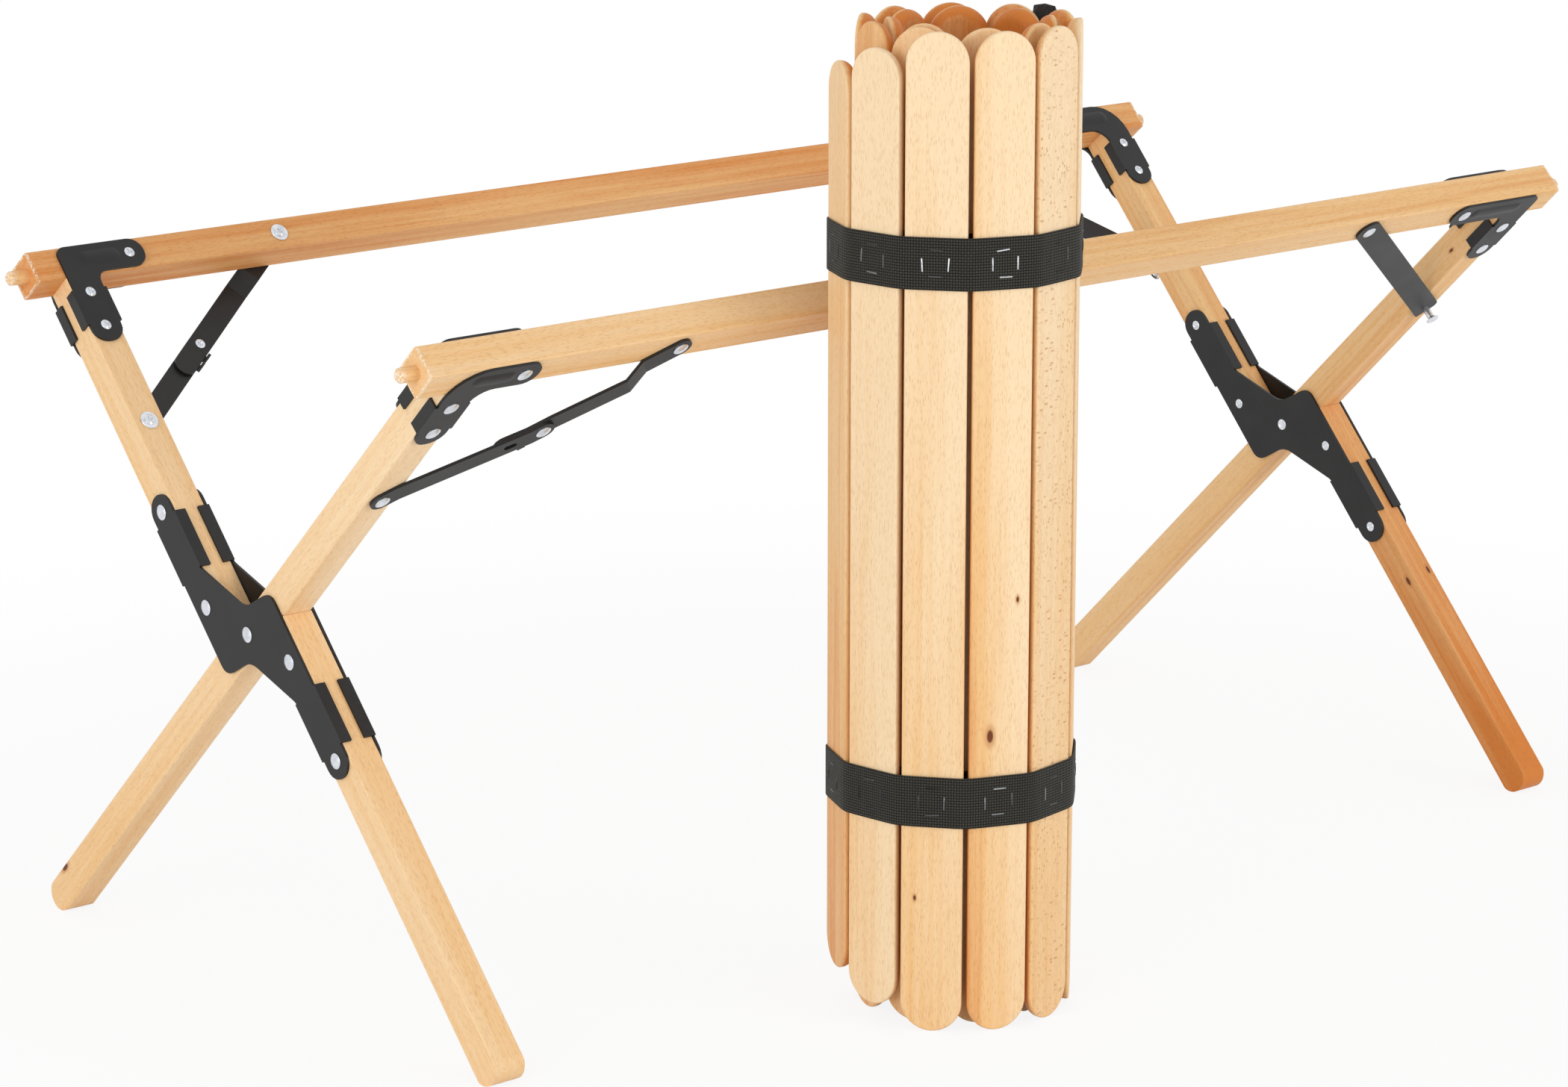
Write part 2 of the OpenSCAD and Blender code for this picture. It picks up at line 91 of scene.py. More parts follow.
# Where splinters at a rail's edge start and are full, and length of a splintered peg tip
WORN_EDGE = (0.0018, 0.0008)
WORN_TIP = 0.006
LEG_X = 0.455
SPLIT_TILT = 41.0
THROUGH_TILT = 45.5
SPLIT_SET = 0.0265
PLATE = 0.0018
GRIP = HALF + PLATE
LINK_T = 0.002
LINK_RISE = 0.005
LEG_BOLTS = (0.024, 0.0485)
ARM = {-1: 0.040, 1: 0.060}
NEAR_RIVET = 0.0345
END_RIVET = 0.1028
STAY_RAIL = 0.156
STAY_LEG = 0.118
KNUCKLE_SHARE = 0.48
SHANK_R = 0.0025
PIVOT_R = 0.003
DOME_R = 0.0048
DOME_H = 0.0017
DOME_ROWS = 12
SCREW_R = 0.0035
# A clinched end: how far it stands past its shank, and its height on a cross rod and on a knuckle
CLINCH_RIM = 0.0008
CLINCH_H = 0.001
KNUCKLE_CLINCH_H = 0.0006
STUD_R = 0.0045
STUD_STAND = 0.008
STUD_FLARE = 0.0013
STUD_RIM = 0.0008
WASHER_R = 0.006
WASHER_T = 0.001
# Cross recess of a screw head: reach and half width of an arm, width of its sloped sides, turn in radians
RECESS_REACH = 0.0021
RECESS_HALF = 0.00045
RECESS_SLOPE = 0.00025
RECESS_TURN = 0.6

SLAT_COUNT = 23
ROOT = 9
TAB_SLAT = 7
SLAT_NAMES = [f"slat_{i + 1:02d}" for i in range(SLAT_COUNT)]
HALF_GAP = 0.0022
# Steps along a slat's rounded edge, round its end and down its side
EDGE_STEPS = 7
END_STEPS = 25
SIDE_STEPS = 9
# Width of the flat ring between a slat's rounded edge and the rest of its face
FACE_RIM = 0.0008
# Run at which the weave of a strap's free end starts
FLAP_RUN = -0.2
# Steps along the webbing over a hinge, at its inner end and along its free end
HINGE_STEPS = 21
INNER_STEPS = 8
FLAP_STEPS = 60
# Rows up the hook and loop tab and steps round it
TAB_ROWS = 90
TAB_STEPS = 72

# Tone of a slat from 0, pale, through 1, honey, to 2, amber: the front ones as photographed, partly the
# wood's own tone and partly painted light and shade, others varied
FRONT_TONES = {0: 0.9, 1: -0.12, 2: 0.24, 3: 0.42, 4: 0.42, 5: 0.3}
OUTER_TONE = 0.25
# Deeper tone of the slats past the root, inside the coil: painted shade
INNER_SHADE_TONE = 0.6
TONE_SPREAD = 0.5
# Painted shade on a slat's sides and inner face, as a deeper tone, and the deepening of the front ones for
# each metre downward
SIDE_SHADE = 1.5
INNER_FACE_SHADE = 0.85
TONE_FALL = 1.5
# Slats whose face deepens towards the edge that was wound first, by so much from the middle
TONE_ACROSS = {1: 0.1, 3: 0.5, 4: -0.1}
# Share of a turn through the tones from one slat to the next that varies them most
GOLDEN = 0.618034
# Shift of the grain from one slat to the next and from one timber to the next, in metres
SLAT_SHIFT = np.array([0.37, 0.21, 0.9])
TIMBER_SHIFT = np.array([0.31, 0.17, 0.7])
# The slat that shows marks of the rays across its grain
RAY_SLAT = 4
# Knots in the front slats: distance across from the middle, height above the floor and radius, in metres
SLAT_KNOTS = {3: [(-0.006, 0.183, 0.0026), (0.0106, 0.265, 0.0012)], 2: [(-0.010, 0.083, 0.0011)]}
MOST_KNOTS = 2
FAR_KNOT = (0.0, 9.0, 0.003)
# Knots in the legs: place in the table's frame and radius, in metres
LEG_KNOTS = {
    "left_through_leg": [(-0.466, 0.2766, 0.0304, 0.0026)],
    "right_through_leg": [(0.444, -0.089, 0.3745, 0.0015)],
    "right_lower_leg": [(0.444, -0.0595, 0.133, 0.0022), (0.4612, -0.0626, 0.1393, 0.002)],
}
# Painted glints: how bright the front slats' staples are made where they glint: after a slat's middle, above,
# before and below it
STAPLE_GLINT = {
    "upper_strap": [
        (0.0, 0.0, 0.1, 0.0), (0.15, 0.05, 0.25, 0.3), (1.0, 0.05, 1.0, 0.1),
        (0.9, 0.9, 0.9, 0.8), (0.1, 0.0, 0.05, 0.0), (0.0, 0.1, 0.0, 0.0)],
    "lower_strap": [
        (0.0, 0.0, 0.0, 0.1), (0.05, 0.1, 0.0, 0.05), (0.2, 0.0, 0.05, 0.1),
        (0.1, 0.5, 0.25, 0.3), (0.1, 0.05, 0.25, 0.1), (0.0, 0.0, 0.1, 0.0)],
}

# Cells of the beech's noises and flecks in a metre, Z along the fibres
FIGURE_CELLS = (30.0, 30.0, 2.4)
STREAK_CELLS = (260.0, 260.0, 5.0)
FIBRE_CELLS = (2200.0, 2200.0, 90.0)
FINE_FLECKS = (1900.0, 1900.0, 190.0)
COARSE_FLECKS = (1300.0, 1300.0, 140.0)
RAY_DASHES = (170.0, 170.0, 420.0)
RAY_DOTS = (430.0, 430.0, 300.0)
RAY_PATCHES = (25.0, 25.0, 14.0)

# Lamps: side of the square and place in metres
KEY_SIZE, KEY_PLACE = 2.0, (-3.3, -1.0, 1.05)
FILL_SIZE, FILL_PLACE = 1.6, (1.1, -3.2, 0.8)
LAMP_AIM = (0.0, 0.0, 0.25)
FLOOR_REACH = 12.0
WHITE = (1.0, 1.0, 1.0, 1.0)


def linear(red, green, blue):
    """Scene-linear colour of an sRGB one given from 0 to 255."""
    srgb = np.array([red, green, blue]) / 255.0
    bright = ((srgb + 0.055) / 1.055) ** 2.4
    return tuple(float(v) for v in np.where(srgb <= 0.04045, srgb / 12.92, bright))


def colour(name, description, *srgb):
    """A colour property with an sRGB default."""
    return FloatVectorProperty(
        name=name, description=description, subtype="COLOR", size=3, min=0.0, max=1.0,
        default=linear(*srgb))


def length(name, description, default):
    """A length property in metres."""
    return FloatProperty(
        name=name, description=description, unit="LENGTH", default=default, min=0.0, precision=5)


def spot(name, description, default):
    """A property for a place in metres."""
    return FloatVectorProperty(
        name=name, description=description, subtype="TRANSLATION", unit="LENGTH", size=3, default=default)


class TimberSettings(bpy.types.PropertyGroup):
    """Colours of the lacquered beech and the edges of a slat"""

    pale: colour("Pale beech", "Lightest tone of the lacquered beech", 252, 224, 183)
    honey: colour("Honey beech", "Middle tone of the lacquered beech", 243, 196, 136)
    amber: colour("Amber beech", "Deepest tone of the lacquered beech", 218, 131, 55)
    fleck: colour("Fleck", "Short dark flecks along the grain", 200, 138, 82)
    knot: colour("Knot", "Heart of a knot", 112, 58, 28)
    worn: colour("Worn beech", "Bare splintered beech at worn ends", 252, 236, 214)
    outer_edge: length("Outer edge", "Edge radius on a slat's strap side", 0.0014)
    inner_edge: length("Inner edge", "Edge radius on a slat's other side", 0.0068)


class WebbingSettings(bpy.types.PropertyGroup):
    """The two straps, their staples and the hook and loop tab"""

    yarn: colour("Yarn", "Raised yarn of the webbing", 64, 62, 54)
    # The dark between the yarns is painted shade in the weave
    gap: colour("Gap", "Dark between the yarns", 6, 6, 5)
    pile: colour("Pile", "Fibres of the hook and loop tab", 30, 29, 30)
    thickness: length("Thickness", "Thickness of the webbing", 0.0014)
    lift: length("Lift", "Space between webbing and slats", 0.0003)
    bend: length("Bend", "Softness of the webbing's bends", 0.0026)
    pitch: length("Yarn pitch", "Distance between neighbouring yarns", 0.00165)
    crown: length("Staple crown", "Length of a staple's crown", 0.009)
    wire: length("Staple wire", "Width of a staple's wire", 0.0009)
    square: length("Staple square", "Side of the square that four staples make", 0.0165)


class SteelSettings(bpy.types.PropertyGroup):
    """Powder coat of the pressed steel and plating of the fasteners"""

    coat: colour("Powder coat", "Colour of the coated plates and links", 31, 30, 30)
    zinc: colour("Zinc plate", "Colour of bolts, rivets and screws", 226, 230, 236)
    recess: length("Recess", "Depth of the cross recess in a screw head", 0.0011)
    segments: IntProperty(name="Segments", description="Steps round a fastener", default=48, min=12, max=96)


class StageSettings(bpy.types.PropertyGroup):
    """Camera, lamps and floor of the studio"""

    camera_at: spot("Camera", "Place of the camera", (-2.096, -2.334 + PIVOT[1], 0.964))
    aim_at: spot("Aim", "Point that the camera looks at", (-0.021, 0.0185 + PIVOT[1], 0.209))
    lens: FloatProperty(
        name="Lens", description="Focal length of the camera", unit="CAMERA", default=111.5, min=10.0)
    sky: FloatProperty(
        name="Sky", description="Strength of the even light from all round", default=0.68, min=0.0)
    key: FloatProperty(
        name="Key lamp", description="Power of the large front left lamp", unit="POWER", default=31.0)
    fill: FloatProperty(
        name="Fill lamp", description="Power of the lamp on the right", unit="POWER", default=25.5)


class CampTableSettings(bpy.types.PropertyGroup):
    """All settings of the camp table"""

    timber: PointerProperty(type=TimberSettings)
    webbing: PointerProperty(type=WebbingSettings)
    steel: PointerProperty(type=SteelSettings)
    stage: PointerProperty(type=StageSettings)


# Meshes from grids


def grid_faces(rows, columns, first):
    """Quads between neighbouring rows and columns of a grid whose points start at index first."""
    corner = first + np.arange(rows - 1)[:, None] * columns + np.arange(columns - 1)[None, :]
    quads = np.stack([corner, corner + 1, corner + columns + 1, corner + columns], axis=-1)
    return quads.reshape(-1, 4)


def closed(values):
    """A row of values that ends with its first one again."""
    return np.append(values, values[0])


def raised(plan, level):
    """Grid of xyz points from a grid of plan points and their heights."""
    return np.concatenate([plan, np.broadcast_to(level, plan.shape[:2])[..., None]], axis=-1)


def piece_from_grids(name, grids, uvs=None, vectors=None, values=None, sharp=40.0):
    """One closed piece from several grids of points.

    Each grid is an array of rows by columns by xyz. A seam repeats its first column, a pole its point, and
    both are merged. uvs are like grids with two numbers a point; vectors and values are named point data.
    Edges that turn by more than sharp, in degrees, are shaded as edges.
    """
    points = np.concatenate([grid.reshape(-1, 3) for grid in grids])
    starts = np.cumsum([0] + [grid.shape[0] * grid.shape[1] for grid in grids])
    faces = np.concatenate([grid_faces(*grid.shape[:2], start) for grid, start in zip(grids, starts)])
    mesh = bpy.data.meshes.new(name)
    mesh.from_pydata(points.tolist(), [], faces.tolist())
    if uvs is not None:
        flat = np.concatenate([uv.reshape(-1, 2) for uv in uvs])
        layer = mesh.uv_layers.new(name="weave")
        layer.data.foreach_set("uv", flat[faces.ravel()].astype(np.float32).ravel())
    for kind, field, named in (("FLOAT_VECTOR", "vector", vectors), ("FLOAT", "value", values)):
        for key, data in (named or {}).items():
            stored = mesh.attributes.new(key, kind, "POINT")
            stored.data.foreach_set(field, np.asarray(data, np.float32).reshape(-1))
    shell = bmesh.new()
    shell.from_mesh(mesh)
    bmesh.ops.remove_doubles(shell, verts=shell.verts, dist=1e-6)
    bmesh.ops.recalc_face_normals(shell, faces=shell.faces)
    shell.to_mesh(mesh)
    shell.free()
    mesh.polygons.foreach_set("use_smooth", np.ones(len(mesh.polygons), dtype=bool))
    mesh.set_sharp_from_angle(angle=math.radians(sharp))
    piece = bpy.data.objects.new(name, mesh)
    bpy.context.scene.collection.objects.link(piece)
    return piece


def dress(piece, finish):
    """Gives a new piece its finish."""
    piece.data.materials.append(finish)


def node_points(name):
    """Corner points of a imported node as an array."""
    mesh = frame["nodes"][name].data
    points = np.empty(len(mesh.vertices) * 3, dtype=np.float32)
    mesh.vertices.foreach_get("co", points)
    return points.reshape(-1, 3).astype(float)


# Places on the frame


def leaning(degrees):
    """Axes turned about X: columns are X, the direction across the leg and the direction up it."""
    c, s = math.cos(math.radians(degrees)), math.sin(math.radians(degrees))
    return np.array([[1.0, 0.0, 0.0], [0.0, c, -s], [0.0, s, c]])


def rail_corner(back, side):
    """Origin and axes of a rail and leg corner: X inward along the rail, Y to the stay, the leg down -Z."""
    rise = RAIL_H - PIVOT[2]
    if back:
        axes = leaning(-SPLIT_TILT)
        lean = math.radians(SPLIT_TILT)
        local = np.array([0.0, SPLIT_SET, (rise + SPLIT_SET * math.sin(lean)) / math.cos(lean)])
    else:
        axes = leaning(THROUGH_TILT)
        local = np.array([0.0, 0.0, rise / math.cos(math.radians(THROUGH_TILT))])
    origin = PIVOT + axes @ local + np.array([side * LEG_X, 0.0, 0.0])
    flip = np.diag([-side, 1.0 if back else -1.0, 1.0])
    return origin, axes @ flip


def thinnest_way(xy, middle_angle, spread, steps):
    """Angle about Z, near a middle one, of the plan direction across which points spread least."""
    angles = middle_angle + np.linspace(-spread, spread, steps)
    across = xy @ np.stack([np.cos(angles), np.sin(angles)])
    return angles[np.argmin(np.ptp(across, axis=0))]


def slat_place(name, coil_middle):
    """Where a packed slat stands: middle of its strap face, directions out of and along it, and sizes."""
    points = node_points(name)
    xy = points[:, :2]
    # First to a tenth of a degree, then to a thousandth
    angle = thinnest_way(xy, 0.0, math.pi / 2, 1801)
    angle = thinnest_way(xy, angle, math.radians(0.2), 401)
    out = np.array([math.cos(angle), math.sin(angle)])
    if out @ (xy.mean(axis=0) - coil_middle) < 0:
        out = -out
    along = np.array([-out[1], out[0]])
    reach = xy @ along
    face = along * (reach.max() + reach.min()) / 2 + out * (xy @ out).max()
    low, high = points[:, 2].min(), points[:, 2].max()
    return {
        "face": face, "out": out, "along": along, "width": np.ptp(reach), "depth": np.ptp(xy @ out),
        "middle": (high + low) / 2, "height": high - low}


def slat_places():
    """Places of all slats in winding order, each turned so that along runs with the winding."""
    middles = np.array([node_points(name)[:, :2].mean(axis=0) for name in SLAT_NAMES])
    places = [slat_place(name, middles.mean(axis=0)) for name in SLAT_NAMES]
    for here, place in enumerate(places):
        ahead = places[min(here + 1, SLAT_COUNT - 1)]["face"] - places[max(here - 1, 0)]["face"]
        if place["along"] @ ahead < 0:
            place["along"] = -place["along"]
    return places


def hinge_points():
    """Hinge lines between neighbouring slats in plan, in winding order."""
    names = [f"unroll_{name}" for name in SLAT_NAMES[:ROOT]] + ["top_unroll"]
    names += [f"unroll_{name}" for name in SLAT_NAMES[ROOT + 2:]]
    return np.array([JOINTS[name]["pos_m"][:2] for name in names])


# Shader nodes


def new_finish(name):
    """A material whose tree has only an output and a shader: returns material, tree and shader."""
    finish = bpy.data.materials.new(name)
    finish.use_nodes = True
    tree = finish.node_tree
    tree.nodes.clear()
    shader = add(tree, "ShaderNodeBsdfPrincipled", {})
    add(tree, "ShaderNodeOutputMaterial", {"Surface": shader.outputs["BSDF"]})
    return finish, tree, shader


def feed(tree, node, inputs):
    """Links sockets into a node's inputs, or sets constants on them, by name or number."""
    for key, value in inputs.items():
        if isinstance(value, bpy.types.NodeSocket):
            tree.links.new(value, node.inputs[key])
        else:
            node.inputs[key].default_value = value


def add(tree, kind, inputs, **settings):
    """A node of a kind with settings, and inputs by name or number."""
    node = tree.nodes.new(kind)
    for key, value in settings.items():
        setattr(node, key, value)
    feed(tree, node, inputs)
    return node


def calc(tree, operation, first, second=0.0):
    """Number from two numbers."""
    return add(tree, "ShaderNodeMath", {0: first, 1: second}, operation=operation).outputs[0]


def plus(tree, first, second):
    """Sum of two numbers."""
    return calc(tree, "ADD", first, second)


def times(tree, first, second):
    """Product of two numbers."""
    return calc(tree, "MULTIPLY", first, second)


def largest(tree, numbers):
    """Largest of several numbers."""
    most = numbers[0]
    for number in numbers[1:]:
        most = calc(tree, "MAXIMUM", most, number)
    return most


def vector_math(tree, operation, *vectors):
    """Node that works on one or two vectors."""
    return add(tree, "ShaderNodeVectorMath", dict(enumerate(vectors)), operation=operation)


def scaled(tree, vector, factors):
    """Vector times three factors."""
    return vector_math(tree, "MULTIPLY", vector, factors).outputs["Vector"]


def vector_length(tree, vector):
    """Length of a vector."""
    return vector_math(tree, "LENGTH", vector).outputs["Value"]


def along_way(tree, vector, way):
    """Part of a vector along a way, times the way's length."""
    return vector_math(tree, "DOT_PRODUCT", vector, tuple(way)).outputs["Value"]


def away_from(tree, point):
    """Vector from a point of the table's frame to the shaded place."""
    return vector_math(tree, "SUBTRACT", object_place(tree), tuple(point)).outputs["Vector"]


def turned(tree, vector, degrees, shift=(0.0, 0.0, 0.0)):
    """Vector turned about X, Y and Z, then shifted."""
    inputs = {"Vector": vector, "Rotation": [math.radians(v) for v in degrees], "Location": shift}
    return add(tree, "ShaderNodeMapping", inputs).outputs["Vector"]


def ramp(tree, value, low, high, to_low=0.0, to_high=1.0):
    """Smooth step of a number from low to high."""
    inputs = {"Value": value, "From Min": low, "From Max": high, "To Min": to_low, "To Max": to_high}
    return add(tree, "ShaderNodeMapRange", inputs, interpolation_type="SMOOTHSTEP").outputs[0]


def held(tree, value):
    """A number held between 0 and 1."""
    return add(tree, "ShaderNodeClamp", {"Value": value}).outputs[0]


def blend_colours(tree, factor, first, second, blend_type="MIX"):
    """Colour between two colours."""
    inputs = {0: factor, 6: opaque(first), 7: opaque(second)}
    return add(tree, "ShaderNodeMix", inputs, data_type="RGBA", blend_type=blend_type).outputs[2]


def blend_numbers(tree, factor, first, second):
    """A number between two others."""
    inputs = {"Factor": factor, "A": first, "B": second}
    return add(tree, "ShaderNodeMix", inputs, data_type="FLOAT").outputs[0]


def opaque(value):
    """A colour setting with full alpha, or a socket as it is."""
    return value if isinstance(value, bpy.types.NodeSocket) else (*tuple(value)[:3], 1.0)


def dimmed(colour_setting, share):
    """A share of a colour setting."""
    return [share * v for v in colour_setting]


def noise(tree, vector, cells, detail=2.0, rough=0.5, twist=0.0):
    """Fractal noise from 0 to 1, with cells along each axis for a metre of the vector."""
    inputs = {
        "Vector": scaled(tree, vector, cells), "Scale": 1.0, "Detail": detail, "Roughness": rough,
        "Distortion": twist}
    return add(tree, "ShaderNodeTexNoise", inputs).outputs["Fac"]


def even_noise(tree, cells, detail=2.0, rough=0.5):
    """Noise in the table's frame with as many cells a metre in all directions."""
    return noise(tree, object_place(tree), (cells, cells, cells), detail, rough)


def bumped(tree, shader, height, distance):
    """Gives a shader a bump from a height."""
    inputs = {"Height": height, "Distance": distance, "Strength": 1.0}
    feed(tree, shader, {"Normal": add(tree, "ShaderNodeBump", inputs).outputs["Normal"]})


def object_place(tree):
    """Place in the table's own frame, in metres."""
    return add(tree, "ShaderNodeTexCoord", {}).outputs["Object"]


def point_data(tree, name, output):
    """Point data of the piece by name."""
    return add(tree, "ShaderNodeAttribute", {}, attribute_name=name).outputs[output]


def beech_finish(name, timber, grain_of, tone_of, knot_of=None, marks=None):
    """Lacquered beech: broad figure, fine streaks, short flecks along the grain and knots.

    grain_of, tone_of and knot_of are functions of the tree that give the grain place in metres, Z along the
    fibres, the tone from 0, pale, through 1, honey, to 2, amber, and the nearness of a knot from 0 to 1.
    marks is a function of the tree, the wood's colour and the settings that gives the colour with marks.
    """
    finish, tree, shader = new_finish(name)
    grain = grain_of(tree)
    figure = noise(tree, grain, FIGURE_CELLS, 3.0, 0.55, 0.4)
    streak = noise(tree, grain, STREAK_CELLS, 3.0, 0.6)
    fibre = noise(tree, grain, FIBRE_CELLS, 2.0, 0.6)
    coarse = times(tree, fleck_strokes(tree, grain, COARSE_FLECKS), 0.8)
    stroke = largest(tree, [fleck_strokes(tree, grain, FINE_FLECKS), coarse])
    lean = plus(tree, ramp(tree, figure, 0.3, 0.72, -0.22, 0.3), tone_of(tree))
    lean = plus(tree, lean, ramp(tree, streak, 0.35, 0.75, -0.12, 0.26))
    wood = blend_colours(tree, held(tree, lean), timber.pale, timber.honey)
    wood = blend_colours(tree, held(tree, plus(tree, lean, -1.0)), wood, timber.amber)
    wood = blend_colours(tree, ramp(tree, fibre, 0.45, 0.8, 0.0, 0.16), wood, timber.fleck)
    deeper = blend_colours(tree, 1.0, wood, (0.74, 0.55, 0.38), "MULTIPLY")
    wood = blend_colours(tree, times(tree, stroke, 0.62), wood, deeper)
    if knot_of is not None:
        near_knot = knot_of(tree)
        wood = blend_colours(tree, ramp(tree, near_knot, 0.0, 0.8, 0.0, 0.6), wood, timber.fleck)
        wood = blend_colours(tree, ramp(tree, near_knot, 0.75, 0.97), wood, timber.knot)
    if marks is not None:
        wood = marks(tree, wood, timber)
    feed(tree, shader, {
        "Base Color": wood, "Roughness": ramp(tree, streak, 0.3, 0.8, 0.42, 0.56),
        "Specular IOR Level": 0.22, "Coat Weight": 0.03, "Coat Roughness": 0.3})
    bumped(tree, shader, calc(tree, "SUBTRACT", times(tree, fibre, 0.4), stroke), 0.00006)
    return finish


def fleck_strokes(tree, grain, density):
    """Short strokes along the grain, about one to a cell of a density in cells a metre, some left out."""
    cells = add(tree, "ShaderNodeTexVoronoi", {"Vector": scaled(tree, grain, density), "Scale": 1.0})
    chance = add(tree, "ShaderNodeSeparateColor", {"Color": cells.outputs["Color"]}).outputs[0]
    near = ramp(tree, cells.outputs["Distance"], 0.4, 0.12)
    return times(tree, near, ramp(tree, chance, 0.2, 0.75))


def ray_marks(tree, wood, timber):
    """Wood with dots, in patches dashes across the grain, where the slat's rays come to its face."""
    grain = point_data(tree, "grain", "Vector")
    patch = ramp(tree, noise(tree, grain, RAY_PATCHES), 0.42, 0.56)
    dots, dashes = (fleck_strokes(tree, grain, density) for density in (RAY_DOTS, RAY_DASHES))
    share = times(tree, blend_numbers(tree, patch, dots, dashes), point_data(tree, "ray", "Fac"))
    return blend_colours(tree, times(tree, share, 0.7), wood, timber.fleck)


def worn_rail(back):
    """Function that gives a rail's wood with splintered pale edges round its ends."""
    origin, axes = rail_corner(back, 1)

    def marks(tree, wood, timber):
        aside = away_from(tree, origin)
        spread = largest(tree, [
            calc(tree, "ABSOLUTE", along_way(tree, aside, way)) for way in (axes[:, 1], axes[:, 2])])
        edge = plus(tree, spread, plus(tree, from_middle(tree), -RAIL_END))
        chips = ramp(tree, even_noise(tree, 700.0, 3.0, 0.7), 0.45, 0.6)
        share = times(tree, ramp(tree, edge, HALF - WORN_EDGE[0], HALF - WORN_EDGE[1]), chips)
        return blend_colours(tree, share, wood, timber.worn)

    return marks


def worn_peg(tree, wood, timber):
    """A peg's wood, pale and splintered towards its tip."""
    chips = ramp(tree, even_noise(tree, 600.0, 3.0, 0.7), 0.4, 0.6)
    share = times(tree, ramp(tree, from_middle(tree), PEG_END - WORN_TIP, PEG_END), chips)
    return blend_colours(tree, share, wood, timber.worn)


def from_middle(tree):
    """Distance from the table's middle along its rails."""
    return calc(tree, "ABSOLUTE", along_way(tree, object_place(tree), (1.0, 0.0, 0.0)))


def knots_at(places, turn):
    """Function that gives nearness of a knot, longer along the grain, which a turn brings to Z.

    places are (x, y, z, radius) in the table's frame.
    """

    def nearness(tree):
        near = []
        for *point, radius in places:
            span = scaled(tree, turned(tree, away_from(tree, point), turn), (1.0, 1.0, 0.45))
            near.append(ramp(tree, vector_length(tree, span), radius * 1.8, radius * 0.3))
        return largest(tree, near)

    return nearness


def coated_finish(settings):
    """Satin powder coat: fine orange peel and faint mottling."""
    finish, tree, shader = new_finish("coated_steel")
    mottle = even_noise(tree, 32.0, 3.0)
    light = [1.16 * v + 0.001 for v in settings.coat]
    feed(tree, shader, {
        "Base Color": blend_colours(tree, ramp(tree, mottle, 0.3, 0.7), dimmed(settings.coat, 0.72), light),
        "Roughness": ramp(tree, mottle, 0.25, 0.75, 0.42, 0.5), "Specular IOR Level": 0.35})
    bumped(tree, shader, even_noise(tree, 1600.0), 0.00003)
    return finish


def zinc_finish(settings):
    """Bright zinc plate: cool pale metal with soft clouds of brightness."""
    finish, tree, shader = new_finish("zinc_plate")
    cloud = ramp(tree, even_noise(tree, 240.0), 0.3, 0.7)
    scuff = noise(tree, object_place(tree), (2600.0, 900.0, 2600.0))
    feed(tree, shader, {
        "Base Color": blend_colours(tree, cloud, dimmed(settings.zinc, 0.82), settings.zinc),
        "Roughness": ramp(tree, scuff, 0.3, 0.75, 0.26, 0.36), "Metallic": 1.0})
    bumped(tree, shader, scuff, 0.00001)
    return finish


def weave_height(tree, pitch):
    """Height of a weave from 0 to 1: a rounded cell at each crossing, every second one a little lower."""
    uv = add(tree, "ShaderNodeUVMap", {}, uv_map="weave").outputs["UV"]
    parts = add(tree, "ShaderNodeSeparateXYZ", {"Vector": uv})
    along, across = (calc(tree, "DIVIDE", parts.outputs[axis], pitch) for axis in "XY")
    round_along, round_across = (
        calc(tree, "ABSOLUTE", calc(tree, "SINE", times(tree, way, math.pi))) for way in (along, across))
    cell = plus(tree, calc(tree, "FLOOR", along), calc(tree, "FLOOR", across))
    odd = calc(tree, "ABSOLUTE", calc(tree, "MODULO", cell, 2.0))
    over = times(tree, calc(tree, "POWER", round_across, 0.7), ramp(tree, odd, 0.2, 0.8, 0.8, 1.0))
    return times(tree, over, calc(tree, "POWER", round_along, 0.6))


def webbing_finish(settings):
    """Coarse polypropylene webbing: raised yarns over painted shade in the gaps between them, with a dusty
    sheen.
    """
    finish, tree, shader = new_finish("webbing")
    height = weave_height(tree, settings.pitch)
    dust = ramp(tree, even_noise(tree, 160.0, 3.0), 0.35, 0.75, 0.0, 0.5)
    yarn = blend_colours(tree, dust, settings.yarn, dimmed(settings.yarn, 0.7))
    # Where the weave is low its colour goes to the painted shade between the yarns
    feed(tree, shader, {
        "Base Color": blend_colours(tree, ramp(tree, height, 0.1, 0.8), settings.gap, yarn),
        "Roughness": ramp(tree, height, 0.0, 1.0, 0.8, 0.55),
        "Specular IOR Level": 0.2, "Sheen Weight": 0.04, "Sheen Roughness": 0.5})
    bumped(tree, shader, height, 0.0004)
    return finish


def staple_finish(settings):
    """Blackened staple wire, some of it bright metal: painted glints on the front slats' staples, rubbed wire
    on the others.
    """
    finish, tree, shader = new_finish("staple_wire")
    rub_and_glint = even_noise(tree, 400.0)
    bright = times(tree, point_data(tree, "bright", "Fac"), ramp(tree, rub_and_glint, 0.2, 0.5, 0.5, 1.0))
    feed(tree, shader, {
        "Base Color": blend_colours(tree, bright, linear(40, 40, 40), settings.zinc),
        "Roughness": ramp(tree, rub_and_glint, 0.3, 0.7, 0.5, 0.3), "Metallic": 0.8})
    return finish


def pile_finish(settings):
    """Matted black loop pile."""
    finish, tree, shader = new_finish("loop_pile")
    tuft = noise(tree, object_place(tree), (1300.0, 1300.0, 700.0), 3.0, 0.7)
    shade = ramp(tree, tuft, 0.3, 0.7)
    feed(tree, shader, {
        "Base Color": blend_colours(tree, shade, dimmed(settings.pile, 0.4), settings.pile),
        "Roughness": ramp(tree, tuft, 0.3, 0.7, 0.95, 0.75), "Sheen Weight": 0.3})
    bumped(tree, shader, tuft, 0.0006)
    return finish


# Slats


